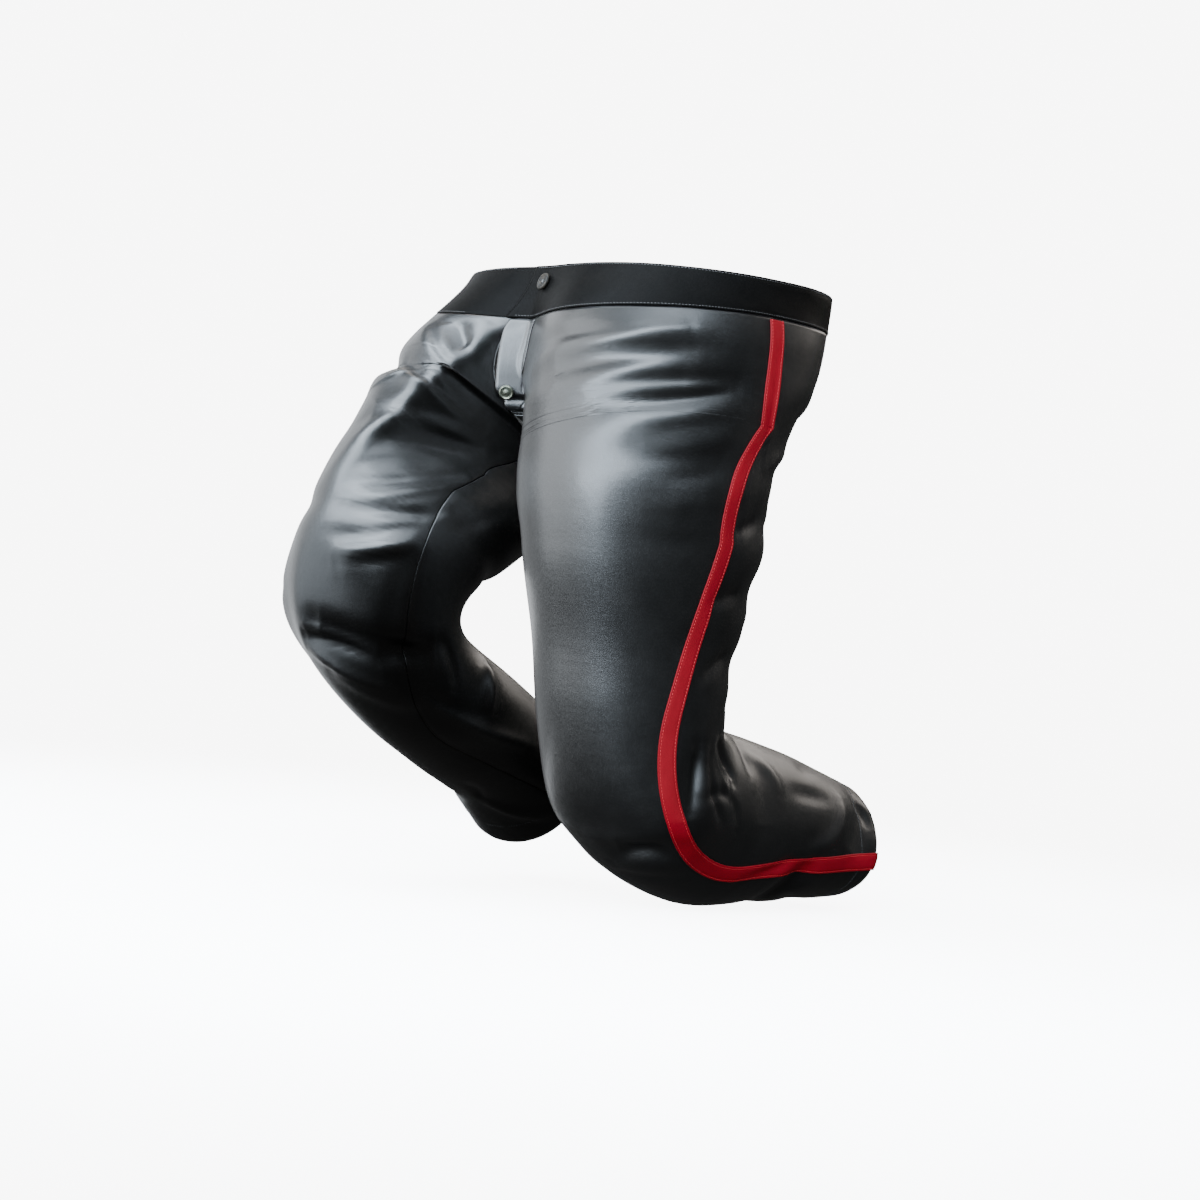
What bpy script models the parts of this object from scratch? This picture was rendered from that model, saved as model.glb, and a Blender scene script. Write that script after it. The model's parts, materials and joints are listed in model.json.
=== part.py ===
"""Leather trousers, worn and empty, kneeling on the left knee with the right foot forward.

Metres, +Z up. The wearer faces -Y and the wearer's left side is +X. The origin is the
middle of the waist opening. The pieces are the ones a maker cuts and sews: two fronts, two
backs, a waistband, a fly facing, a stripe on each outseam, a waist button and a fly stud.

The cloth takes its form from a general figure made of smooth tapering limbs. Rings are laid
across that form from the waist to each hem, the rings are cut at the seams into panels, the
folds are pressed into the panels, and each panel becomes a wall of leather.
"""

from collections import namedtuple

import bmesh
import bpy
import numpy as np
from mathutils import Matrix

# ---------------------------------------------------------------- driving sizes, metres and degrees
LEATHER = 0.0015
SEAM_GAP = 0.0003
REST_GAP = 0.0003
BAND_SEAM_GAP = 0.0006

BAND_HEIGHT = 0.036
BAND_FRONT_DROP = 0.016

HIP_HALF = 0.100
HIP_BELOW_WAIST = 0.072
HIP_FORWARD = 0.050
KNEE_BEND_RADIUS = 0.095
FAN_REACH = {"left": 0.17, "right": 0.20}
FAN_BEND_BELOW_HIP = 0.03
CROTCH_PITCH = {"left": 0.0, "right": 28.0}
ROW_TILT = {"left": 14.0, "right": -4.0}

BLEND = 0.020
PARTING_TURN = 16.0
PARTING_TOP = 0.175
PARTING_TURN_OVER = 0.08
CROTCH_FORWARD = (-0.04, 0.11)
CROTCH_DEPTH = (0.05, 0.30)
LEGS_PART_OVER = 0.12
PARTING_GAP = 0.0016
THIGH_APART = 0.010

Pose = namedtuple("Pose", "side flex spread inward twist thigh knee shin")
POSES = {
    "left": Pose(
        side=1, flex=-1.0, spread=-1.0, inward=0.0, twist=-13.0, thigh=0.420, knee=82.0, shin=0.309
    ),
    "right": Pose(
        side=-1, flex=47.5, spread=0.0, inward=23.0, twist=-3.0, thigh=0.395, knee=112.0, shin=0.345
    ),
}

# Half widths of the form. `along` is metres below the waist, or the share of a limb's length.
Section = namedtuple("Section", "along side front back")
PELVIS_SECTIONS = (
    Section(-0.05, 0.182, 0.126, 0.143),
    Section(0.00, 0.184, 0.131, 0.143),
    Section(0.06, 0.186, 0.141, 0.132),
    Section(0.12, 0.180, 0.143, 0.114),
    Section(0.17, 0.165, 0.128, 0.100),
)
THIGH_SECTIONS = {
    "left": (
        Section(0.00, 0.100, 0.118, 0.112),
        Section(0.30, 0.112, 0.136, 0.109),
        Section(0.45, 0.107, 0.126, 0.102),
        Section(0.65, 0.093, 0.103, 0.088),
        Section(0.80, 0.088, 0.089, 0.075),
        Section(1.00, 0.080, 0.062, 0.058),
    ),
    "right": (
        Section(0.00, 0.096, 0.098, 0.112),
        Section(0.30, 0.106, 0.114, 0.112),
        Section(0.60, 0.092, 0.102, 0.094),
        Section(0.80, 0.082, 0.088, 0.066),
        Section(0.92, 0.074, 0.064, 0.046),
        Section(1.00, 0.066, 0.036, 0.032),
    ),
}
SHIN_SECTIONS = {
    "left": (
        Section(0.00, 0.076, 0.060, 0.062),
        Section(0.30, 0.076, 0.081, 0.086),
        Section(0.60, 0.072, 0.070, 0.084),
        Section(1.00, 0.070, 0.050, 0.066),
    ),
    "right": (
        Section(0.00, 0.066, 0.038, 0.034),
        Section(0.30, 0.066, 0.060, 0.048),
        Section(0.60, 0.066, 0.060, 0.058),
        Section(0.86, 0.067, 0.058, 0.058),
        Section(1.00, 0.070, 0.070, 0.058),
    ),
}
# How far the seams turn round each leg, outseam forward, at each change of zone.
SeamTurn = namedtuple("SeamTurn", "waist crotch thigh above_knee below_knee hem")
SEAM_TURNS = {
    "left": SeamTurn(2, 2, 8, 24, 36, 4),
    "right": SeamTurn(0, 0, -8, -28, -56, -20),
}
# Where each form's rounded ends start, and how far they bulge.
Cap = namedtuple("Cap", "start bulge")
PELVIS_CAP = Cap(0.090, 0.075)
HIP_CAP = Cap(0.0, 0.075)
KNEE_CAPS = {"left": Cap(0.0, 0.022), "right": Cap(0.0, 0.004)}

# ---------------------------------------------------------------- small maths


def unit(vector):
    vector = np.asarray(vector, float)
    return vector / np.linalg.norm(vector, axis=-1, keepdims=True)


def rotation(axis, degrees):
    """3 x 3 matrix that turns a vector round an axis."""
    x, y, z = unit(axis)
    cross = np.array(((0, -z, y), (z, 0, -x), (-y, x, 0)))
    angle = np.radians(degrees)
    return np.eye(3) + np.sin(angle) * cross + (1 - np.cos(angle)) * (cross @ cross)


def ease(share):
    share = np.clip(share, 0.0, 1.0)
    return share * share * (3 - 2 * share)


def column(rows, name):
    return np.array([getattr(row, name) for row in rows], float)


def read_table(rows, at, name):
    """Smooth curve through one column of a table, read at `at`."""
    places, values = column(rows, "along"), column(rows, name)
    at = np.clip(at, places[0], places[-1])
    slopes = np.gradient(values, places)
    i = np.clip(np.searchsorted(places, at) - 1, 0, len(rows) - 2)
    step = places[i + 1] - places[i]
    t = (at - places[i]) / step
    return (
        (2 * t**3 - 3 * t**2 + 1) * values[i] + (t**3 - 2 * t**2 + t) * step * slopes[i]
        + (3 * t**2 - 2 * t**3) * values[i + 1] + (t**3 - t**2) * step * slopes[i + 1]
    )


# ---------------------------------------------------------------- the figure that fills the cloth


class Limb:
    """A tapering limb with an oval section and rounded ends. Its frame's rows are
    outward, forward and along."""

    def __init__(self, origin, frame, sections, scale, first_cap, last_cap, squareness=2.1):
        self.origin = origin
        self.frame = frame
        self.sections = sections
        self.scale = scale
        self.first_cap = first_cap
        self.last_cap = last_cap
        self.squareness = squareness

    def depth(self, points):
        """Distance outside the limb, negative inside it, good near the surface."""
        local = (points - self.origin) @ self.frame.T
        along = local[..., 2]
        share = along / self.scale
        half_side = read_table(self.sections, share, "side")
        forward = local[..., 1] > 0
        half_deep = np.where(
            forward,
            read_table(self.sections, share, "front"),
            read_table(self.sections, share, "back"),
        )
        n = self.squareness
        total = np.abs(local[..., 0] / half_side) ** n + np.abs(local[..., 1] / half_deep) ** n
        if self.first_cap:
            before = np.maximum(self.first_cap.start - along, 0) / self.first_cap.bulge
            total = total + before**n
        if self.last_cap:
            after = np.maximum(along - self.last_cap.start, 0) / self.last_cap.bulge
            total = total + after**n
        return (total ** (1 / n) - 1) * np.minimum(half_side, half_deep)


def soft_union(depths):
    """Union of forms with rounded inner corners."""
    stack = np.stack(depths)
    nearest = stack.min(axis=0)
    return nearest - BLEND * np.log(np.exp((nearest - stack) / BLEND).sum(axis=0))


def soft_meet(one, other, blend=0.006):
    """Intersection of two forms with a rounded edge."""
    deeper = np.maximum(one, other)
    return deeper + blend * np.log(np.exp((one - deeper) / blend) + np.exp((other - deeper) / blend))


Leg = namedtuple("Leg", "name side hip knee thigh_frame shin_frame pose thigh shin")


class Figure:
    """The pose: a pelvis and two legs, each leg a thigh and a shin."""

    def __init__(self):
        self.frame = np.diag((1.0, -1.0, -1.0))
        self.left, self.front, self.down = self.frame
        self.pelvis = Limb(
            np.zeros(3), self.frame, PELVIS_SECTIONS, 1.0, None, PELVIS_CAP, squareness=2.3
        )
        self.legs = {name: self.leg(name, pose) for name, pose in POSES.items()}

    def leg(self, name, pose):
        hip = pose.side * HIP_HALF * self.left + HIP_FORWARD * self.front + HIP_BELOW_WAIST * self.down
        straight = np.array(((pose.side, 0, 0), (0, -1, 0), (0, 0, -1.0)))
        swing = rotation((0, 0, 1), -pose.side * pose.inward) @ rotation((0, 1, 0), -pose.side * pose.spread)
        thigh_frame = straight @ (swing @ rotation((1, 0, 0), -pose.flex)).T
        thigh_frame = thigh_frame @ rotation(thigh_frame[2], pose.side * pose.twist).T
        hinge = np.cross(thigh_frame[2], -thigh_frame[1])
        shin_frame = thigh_frame @ rotation(hinge, pose.knee).T
        knee = hip + pose.thigh * thigh_frame[2]
        knee_cap = KNEE_CAPS[name]
        knee_end = Cap(pose.thigh, knee_cap.bulge)
        thigh = Limb(hip, thigh_frame, THIGH_SECTIONS[name], pose.thigh, HIP_CAP, knee_end)
        shin = Limb(knee, shin_frame, SHIN_SECTIONS[name], pose.shin, knee_cap, None)
        return Leg(name, pose.side, hip, knee, thigh_frame, shin_frame, pose, thigh, shin)

    def other(self, leg):
        return self.legs["right" if leg.name == "left" else "left"]

    def hip_depth(self, points, leg):
        """The pelvis with one thigh, kept to its own side of the face where the thighs touch."""
        kept = soft_meet(leg.thigh.depth(points), THIGH_APART / 2 - leg.side * self.parting(points))
        return soft_union([self.pelvis.depth(points), kept])

    def torso_depth(self, points):
        return np.minimum(*(self.hip_depth(points, leg) for leg in self.legs.values()))

    def leg_depth(self, points, leg, apart):
        """The cloth of one leg. `apart` grows from 0 at the crotch, as the other leg leaves it."""
        own = soft_union([self.hip_depth(points, leg), leg.shin.depth(points)])
        whole = np.minimum(own, self.hip_depth(points, self.other(leg)) + LEGS_PART_OVER * apart)
        parting = PARTING_GAP / 2 - leg.side * self.parting(points)
        return np.where(apart > 0, soft_meet(whole, parting), whole)

    def parting(self, points):
        """Distance from the face where the thighs touch, positive toward the left leg."""
        below = ease((points @ self.down - PARTING_TOP) / PARTING_TURN_OVER)
        turned = np.radians(PARTING_TURN) * below
        return (points @ self.left) * np.cos(turned) - (points @ self.front) * np.sin(turned)

    def keep_apart(self, points, side):
        """Move points that come too close to the other leg's cloth back to their own side."""
        short = np.maximum(SEAM_GAP / 2 - side * self.parting(points), 0)
        return points + side * short[..., None] * self.left

    def crotch_frame(self, leg, share=1.0):
        """Forward and down of the pelvis, pitched as the crotch ring of a leg is."""
        pitch = np.radians(CROTCH_PITCH[leg.name]) * share
        forward = np.cos(pitch) * self.front - np.sin(pitch) * self.down
        down = np.cos(pitch) * self.down + np.sin(pitch) * self.front
        return forward, down

    def crotch_point(self, leg):
        """Where a leg's crotch ring touches the form on the plane between the legs."""
        forward = np.linspace(*CROTCH_FORWARD, 61)
        depth = np.linspace(*CROTCH_DEPTH, 501)
        points = forward[:, None, None] * self.front + depth[None, :, None] * self.down
        outside = self.torso_depth(points) > 0
        lowest = depth[np.argmax(outside, axis=1)]
        touching = forward[:, None] * self.front + lowest[:, None] * self.down
        return touching[np.argmax(touching @ self.crotch_frame(leg)[1])]


# ---------------------------------------------------------------- rings from the waist to the hem


Station = namedtuple("Station", "zone share centre frame apart")
ZONES = ("pelvis", "hip", "thigh", "knee", "shin")
ZONE_ROWS = {"pelvis": 14, "hip": 8, "thigh": 9, "knee": 11, "shin": 8}
ROW_CROWDING = 1.35


def pelvis_stations(figure, leg, rows):
    """Level rings at the waist that tilt until the last one touches the crotch."""
    out = leg.side * figure.left
    crotch = figure.crotch_point(leg)
    for share in np.linspace(0, 1, rows + 1):
        front, down = figure.crotch_frame(leg, ease(share))
        tilt = np.radians(ROW_TILT[leg.name] * ease(share))
        row_out = np.cos(tilt) * out - np.sin(tilt) * down
        row_down = np.cos(tilt) * down + np.sin(tilt) * out
        forward = share * (crotch @ figure.front) * figure.front
        below = (1 - (1 - share) ** ROW_CROWDING) * (crotch @ figure.down) * figure.down
        centre = forward + below + HIP_HALF * row_out
        yield Station("pelvis", share, centre, np.array((row_out, front, row_down)), 0.0)


def hip_stations(figure, leg, last, rows):
    """Rings that fan from the crotch ring to the first ring square to the thigh. They all
    pass through one line, outside the cloth, in the crook of the hip."""
    along = leg.thigh_frame[2]
    end = leg.hip + FAN_REACH[leg.name] * along
    start_normal = last.frame[2]
    line = np.cross(start_normal, along)
    angle = np.degrees(np.arctan2(np.linalg.norm(line), start_normal @ along))
    line = unit(line)
    hinge = np.linalg.solve(
        np.array((start_normal, along, line)), (start_normal @ last.centre, along @ end, line @ leg.hip)
    )
    bend = leg.hip + FAN_BEND_BELOW_HIP * along
    for share in np.linspace(0, 1, rows + 1)[1:]:
        normal = rotation(line, angle * share) @ start_normal
        front = (1 - share) * last.frame[1] + share * leg.thigh_frame[1]
        front = unit(front - (front @ normal) * normal)
        out = leg.side * np.cross(front, normal)
        if out @ last.frame[0] < 0:
            out = -out
        centre = (1 - share) ** 2 * last.centre + 2 * share * (1 - share) * bend + share**2 * end
        centre = centre - ((centre - hinge) @ normal) * normal
        yield Station("hip", share, centre, np.array((out, front, normal)), share)


def leg_stations(figure, leg, rows):
    """All the rings of one leg, waist to hem, in `rows` per zone."""
    stations = list(pelvis_stations(figure, leg, rows["pelvis"]))
    stations += hip_stations(figure, leg, stations[-1], rows["hip"])
    frame, along = leg.thigh_frame, leg.thigh_frame[2]
    straight = KNEE_BEND_RADIUS * np.tan(np.radians(leg.pose.knee / 2))
    reach = FAN_REACH[leg.name]
    for share in np.linspace(0, 1, rows["thigh"] + 1)[1:]:
        place = reach + (leg.pose.thigh - straight - reach) * share
        stations.append(Station("thigh", share, leg.hip + place * along, frame, 1.0))
    hinge = leg.knee - straight * along - KNEE_BEND_RADIUS * frame[1]
    axis = np.cross(along, -frame[1])
    for share in np.linspace(0, 1, rows["knee"] + 1)[1:]:
        turned = frame @ rotation(axis, leg.pose.knee * share).T
        centre = hinge + KNEE_BEND_RADIUS * turned[1]
        stations.append(Station("knee", share, centre, turned, 1.0))
    for share in np.linspace(0, 1, rows["shin"] + 1)[1:]:
        place = straight + (leg.pose.shin - straight) * share
        centre = leg.knee + place * leg.shin_frame[2]
        stations.append(Station("shin", share, centre, leg.shin_frame, 1.0))
    return stations


RAY_REACH = 0.36
RAY_STEPS = 72
REFINEMENTS = 3
REFINE_WITHIN = (0.02, 0.98)


def find_surface(depth, centres, rays):
    """Where rays leave a form. Centres and rays are grids of points and directions."""
    reach = np.linspace(0, RAY_REACH, RAY_STEPS)[:, None]
    values = depth(centres[:, :, None] + rays[:, :, None] * reach)
    outside = values > 0
    outside[..., -1] = True
    first = np.maximum(np.argmax(outside, axis=-1), 1)[..., None]
    inner = np.take_along_axis(values, first - 1, -1)
    outer = np.take_along_axis(values, first, -1)
    low, high = reach[first - 1, 0], reach[first, 0]
    for _ in range(REFINEMENTS):
        share = np.clip(inner / (inner - outer - 1e-12), *REFINE_WITHIN)
        middle = low + share * (high - low)
        found = depth(centres[:, :, None] + rays[:, :, None] * middle[..., None])
        inside = found < 0
        low, high = np.where(inside, middle, low), np.where(inside, high, middle)
        inner, outer = np.where(inside, found, inner), np.where(inside, outer, found)
    share = np.clip(inner / (inner - outer - 1e-12), 0, 1)
    return centres + rays * (low + share * (high - low))


def ring_points(figure, leg, stations, angles):
    """Rings of points on one leg's cloth. Angle 0 points at the other leg, 90 forward,
    180 outward and 270 back."""
    centres = np.array([station.centre for station in stations])[:, None]
    frames = np.array([station.frame for station in stations])
    apart = np.array([station.apart for station in stations])[:, None, None]
    places = [ZONES.index(station.zone) + station.share for station in stations]
    seam_turn = np.interp(places, range(len(ZONES) + 1), SEAM_TURNS[leg.name])
    turn = np.radians(angles[None, :, None] - seam_turn[:, None, None])
    rays = -np.cos(turn) * frames[:, None, 0] + np.sin(turn) * frames[:, None, 1]
    return find_surface(lambda points: figure.leg_depth(points, leg, apart), centres, rays)


# ---------------------------------------------------------------- the cloth of one leg

Fold = namedtuple("Fold", "leg row angle to_row to_angle half_width height")
# Rows count zones: 0 waist, 1 crotch, 2 top of thigh, 3 above the knee, 4 below it, 5 hem.
FOLDS = (
    # drag folds from the fly across the left front
    Fold("left", 0.32, 80, 0.12, 140, 0.014, 0.005),
    Fold("left", 0.45, 95, 0.32, 150, 0.014, -0.005),
    Fold("left", 0.62, 70, 0.50, 140, 0.016, 0.004),
    Fold("left", 0.82, 110, 0.55, 170, 0.017, -0.006),
    Fold("left", 1.30, 115, 1.35, 180, 0.020, -0.004),
    # bulges and dents down the back of the left thigh
    Fold("left", 1.35, 200, 1.25, 290, 0.020, -0.006),
    Fold("left", 1.80, 190, 1.65, 270, 0.022, -0.007),
    Fold("left", 2.28, 190, 2.20, 285, 0.022, -0.006),
    Fold("left", 2.62, 200, 2.72, 300, 0.020, -0.005),
    Fold("left", 2.05, 300, 2.20, 350, 0.022, -0.005),
    # creases round the left knee
    Fold("left", 3.10, 222, 3.70, 240, 0.016, -0.006),
    Fold("left", 3.15, 202, 3.50, 186, 0.014, -0.006),
    Fold("left", 4.12, 285, 4.16, 215, 0.016, -0.003),
    Fold("left", 3.55, 135, 3.62, 175, 0.014, -0.006),
    Fold("left", 3.25, 340, 3.75, 338, 0.018, -0.004),
    Fold("left", 3.50, 20, 3.62, 80, 0.018, -0.004),
    # the left hem sags and pinches
    Fold("left", 4.45, 134, 4.55, 187, 0.016, -0.008),
    Fold("left", 4.82, 187, 4.95, 230, 0.018, -0.006),
    Fold("left", 4.40, 317, 4.85, 351, 0.020, -0.005),
    # creases that fan from the crotch over the right groin
    Fold("right", 0.10, 70, 0.98, 45, 0.014, -0.008),
    Fold("right", 0.20, 84, 0.90, 60, 0.013, 0.003),
    Fold("right", 0.80, 105, 1.36, 40, 0.015, -0.008),
    Fold("right", 1.30, 110, 1.55, 25, 0.016, 0.005),
    Fold("right", 0.60, 135, 0.90, 100, 0.018, -0.005),
    # drag folds across the right thigh
    Fold("right", 2.60, 85, 1.60, 20, 0.014, -0.005),
    Fold("right", 3.10, 75, 2.20, 5, 0.013, 0.004),
    Fold("right", 3.22, 62, 3.06, 345, 0.013, -0.005),
    Fold("right", 3.38, 48, 3.28, 0, 0.013, 0.004),
    Fold("right", 2.50, 120, 2.80, 185, 0.020, -0.005),
    Fold("right", 1.70, 175, 1.95, 250, 0.022, -0.006),
    # the deep crease inside the right knee and the ridge below it
    Fold("right", 3.54, 60, 3.66, -25, 0.013, -0.010),
    Fold("right", 3.66, 55, 3.84, -8, 0.014, 0.005),
    Fold("right", 3.84, -8, 4.50, -32, 0.015, 0.004),
    Fold("right", 3.62, 130, 3.50, 190, 0.015, -0.007),
    Fold("right", 3.40, 205, 3.55, 262, 0.016, -0.008),
    Fold("right", 4.05, -80, 4.15, -40, 0.014, 0.004),
    Fold("right", 4.40, 180, 4.60, 110, 0.018, -0.005),
    # seat
    Fold("left", 0.70, 215, 0.80, 290, 0.020, -0.006),
    Fold("right", 0.62, 215, 0.78, 280, 0.020, -0.006),
    Fold("right", 1.15, 205, 1.05, 290, 0.022, -0.006),
)

RAY_COUNT = 144
FINE_PELVIS_ROWS = 28
FOLD_FREE_ROWS = 3
FOLD_FREE_PARTING = 0.015
FOLD_WITHIN = (0.03, 0.97)

Skin = namedtuple("Skin", "leg points normals rows")


def grid_normals(points, side):
    """Outward normals of a grid of rings whose first and last columns meet."""
    around = np.empty_like(points)
    around[:, 1:-1] = points[:, 2:] - points[:, :-2]
    around[:, 0] = around[:, -1] = points[:, 1] - points[:, -2]
    down = np.gradient(points, axis=0)
    return unit(side * np.cross(down, around))


def band_edge(figure, points):
    """How far below the waist the band's lower edge is, on the side where the points lie."""
    forward = points @ figure.front
    sideways = points @ figure.left
    facing = forward / np.hypot(forward, sideways)
    return BAND_HEIGHT + BAND_FRONT_DROP * np.maximum(facing, 0) ** 2


def start_at_band(figure, points, fine_rows, rows):
    """Replace the waist's level rings by rings that start along the band's lower edge."""
    depth = points[: fine_rows + 1] @ figure.down
    edge = band_edge(figure, points[: fine_rows + 1]) + BAND_SEAM_GAP
    begun = np.argmax(depth > edge, axis=0)
    column_of = np.arange(points.shape[1])
    low, high = depth[begun - 1, column_of], depth[begun, column_of]
    first = begun - 1 + (edge[begun, column_of] - low) / (high - low)
    place = first + (fine_rows - first) * np.linspace(0, 1, rows + 1)[:, None]
    below = np.clip(place.astype(int), 0, fine_rows - 1)
    share = (place - below)[..., None]
    resampled = points[below, column_of] * (1 - share) + points[below + 1, column_of] * share
    return np.concatenate((resampled, points[fine_rows + 1:]))


def row_of(place, zone_rows):
    """Grid row of a place counted in zones."""
    counts = list(zone_rows.values())
    starts = np.concatenate(((0,), np.cumsum(counts)))
    return np.interp(place, np.arange(len(counts) + 1), starts)


def spine_points(points, zone_rows, fold, count=13):
    """Points along a fold, on the skin."""
    share = np.linspace(0, 1, count)
    rows = row_of(fold.row + (fold.to_row - fold.row) * share, zone_rows)
    angles = fold.angle + (fold.to_angle - fold.angle) * share
    columns = (angles % 360) / 360 * (points.shape[1] - 1)
    i = np.clip(rows.astype(int), 0, points.shape[0] - 2)
    j = np.clip(columns.astype(int), 0, points.shape[1] - 2)
    u, v = (rows - i)[:, None], (columns - j)[:, None]
    top = points[i, j] * (1 - v) + points[i, j + 1] * v
    bottom = points[i + 1, j] * (1 - v) + points[i + 1, j + 1] * v
    return top * (1 - u) + bottom * u


def fold_height(points, spine, fold):
    """How far one fold lifts each point: a soft ridge or trough that dies out at its ends."""
    nearest = np.full(points.shape[:-1], np.inf)
    along = np.zeros(points.shape[:-1])
    pieces = len(spine) - 1
    for k in range(pieces):
        step = spine[k + 1] - spine[k]
        share = np.clip(((points - spine[k]) @ step) / (step @ step), 0, 1)
        distance = np.linalg.norm(points - spine[k] - share[..., None] * step, axis=-1)
        closer = distance < nearest
        nearest = np.where(closer, distance, nearest)
        along = np.where(closer, (k + share) / pieces, along)
    across = np.exp(-((nearest / fold.half_width) ** 2))
    return fold.height * across * np.sqrt(np.sin(np.pi * np.clip(along, *FOLD_WITHIN)))


def leg_skin(figure, leg, zone_rows, folds):
    """Rings of points on the outside of one leg's cloth, folds pressed in."""
    fine = dict(zone_rows, pelvis=FINE_PELVIS_ROWS)
    stations = leg_stations(figure, leg, fine)
    angles = np.linspace(0, 360, RAY_COUNT + 1)
    points = ring_points(figure, leg, stations, angles)
    points[:, -1] = points[:, 0]
    points = start_at_band(figure, points, FINE_PELVIS_ROWS, zone_rows["pelvis"])
    normals = grid_normals(points, leg.side)
    lift = np.zeros(points.shape[:2])
    for fold in folds:
        if fold.leg == leg.name:
            lift += fold_height(points, spine_points(points, zone_rows, fold), fold)
    from_band = np.arange(len(points))[:, None] / FOLD_FREE_ROWS
    from_other_leg = (leg.side * figure.parting(points) - PARTING_GAP / 2) / FOLD_FREE_PARTING
    lift *= ease(from_band) * ease(from_other_leg)
    points = points + lift[..., None] * normals
    return Skin(leg, points, grid_normals(points, leg.side), zone_rows)


# ---------------------------------------------------------------- panels, cut at the seams

FLY_WIDTH = 0.034
FLY_TURN_ROW = 5
FLY_END_ROW = 8
FLY_END_SHARE = 0.40
STRIPE_WIDTH = 0.018
FLY_COLUMNS = 3
WIDE_COLUMNS = 8

Panel = namedtuple("Panel", "name points normals")


def crossing(ring_side, end, step):
    """Place, in columns, where a ring crosses the plane between the legs on its way from the
    outseam to its end."""
    i = len(ring_side) // 2
    while i != end and ring_side[i + step] >= 0:
        i += step
    if i == end:
        return float(end)
    return i + step * ring_side[i] / (ring_side[i] - ring_side[i + step])


def cut_row(ring, normals, first, last):
    """One row of a panel: the ring between two places, by length along it."""
    inner = np.arange(int(np.floor(min(first, last))) + 1, int(np.ceil(max(first, last))))
    places = np.concatenate(((first,), inner if last > first else inner[::-1], (last,)))
    i = np.clip(places.astype(int), 0, len(ring) - 2)
    share = (places - i)[:, None]
    points = ring[i] * (1 - share) + ring[i + 1] * share
    leaning = normals[i] * (1 - share) + normals[i + 1] * share
    length = np.concatenate(((0.0,), np.cumsum(np.linalg.norm(np.diff(points, axis=0), axis=1))))
    return points, leaning, length


def fly_width(row):
    """Width of the fly facing at a row of the front, a J at its lower end."""
    bend = np.clip((row - FLY_TURN_ROW) / (FLY_END_ROW - FLY_TURN_ROW), 0, 1)
    return FLY_WIDTH * max(np.sqrt(1 - bend**2), FLY_END_SHARE)


def column_places(length, row, last_fly_row, with_fly):
    """Distances of a row's columns from its centre seam or inseam."""
    usable = length - STRIPE_WIDTH / 2
    even = usable * FLY_COLUMNS / (FLY_COLUMNS + WIDE_COLUMNS)
    if with_fly:
        after = ease((row - FLY_END_ROW) / (last_fly_row - FLY_END_ROW))
        even = (1 - after) * fly_width(row) + after * even
    narrow = np.linspace(0, even, FLY_COLUMNS + 1)[1:]
    wide = np.linspace(even, usable, WIDE_COLUMNS + 1)[1:]
    return np.concatenate(((SEAM_GAP / 2,), narrow, wide, (length - SEAM_GAP / 2,)))


def cut_panel(figure, skin, part):
    """The front or the back of one leg. Column 0 is the centre seam, then the inseam."""
    side = skin.leg.side
    count = skin.points.shape[1] - 1
    middle = count / 2
    pelvis_rows = skin.rows["pelvis"]
    all_points, all_normals = [], []
    for row, (ring, normals) in enumerate(zip(skin.points, skin.normals)):
        across = side * (ring @ figure.left)
        end, step = (0, -1) if part == "front" else (count, 1)
        first = crossing(across, end, step) if row <= pelvis_rows else float(end)
        points, leaning, length = cut_row(ring, normals, first, middle)
        places = column_places(length[-1], row, pelvis_rows + 2, part == "front")
        points = np.stack([np.interp(places, length, points[:, k]) for k in range(3)], -1)
        leaning = np.stack([np.interp(places, length, leaning[:, k]) for k in range(3)], -1)
        if row <= pelvis_rows:
            leaning[0] = leaning[0] - (leaning[0] @ figure.left) * figure.left
        all_points.append(figure.keep_apart(points, side))
        all_normals.append(unit(leaning))
    return Panel(f"{part}_{skin.leg.name}", np.array(all_points), np.array(all_normals))


# ---------------------------------------------------------------- walls from grids of points

HEM_ROWS = 1
BAND_THICKNESS = 0.0028
BAND_PROUD = 0.0010
FLY_THICKNESS = 0.0012
STRIPE_THICKNESS = 0.0011
BAND_COLUMNS = 75
BAND_ROWS = 3
BAND_UNDER_ANGLE = 13.0
BAND_LAP_ANGLE = -2.0
BAND_TUCK_OVER = 14.0
BUTTON_SIDES = 24
BUTTON_RADIUS = 0.0085
BUTTON_HEIGHT = 0.0030
BUTTON_FROM_LAP = 2
STUD_RADIUS = 0.0070
STUD_HEIGHT = 0.0035
STUD_ROW = 6
SHARP_ANGLE = 50.0
BELOW_BAND = 0.12
UP = np.array((0.0, 0.0, 1.0))
NO_COLUMN = 1000


def grid_faces(rows, columns, flip, turned_from):
    """Two triangles for each cell of a grid of points. Cells from column `turned_from` on
    are cut along their other diagonal."""
    faces = []
    for i in range(rows - 1):
        for j in range(columns - 1):
            a = i * columns + j
            b, c, d = a + 1, a + columns + 1, a + columns
            cell = [(a, d, b), (b, d, c)] if j >= turned_from else [(a, c, b), (a, d, c)]
            faces += [face[::-1] for face in cell] if flip else cell
    return faces


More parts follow.
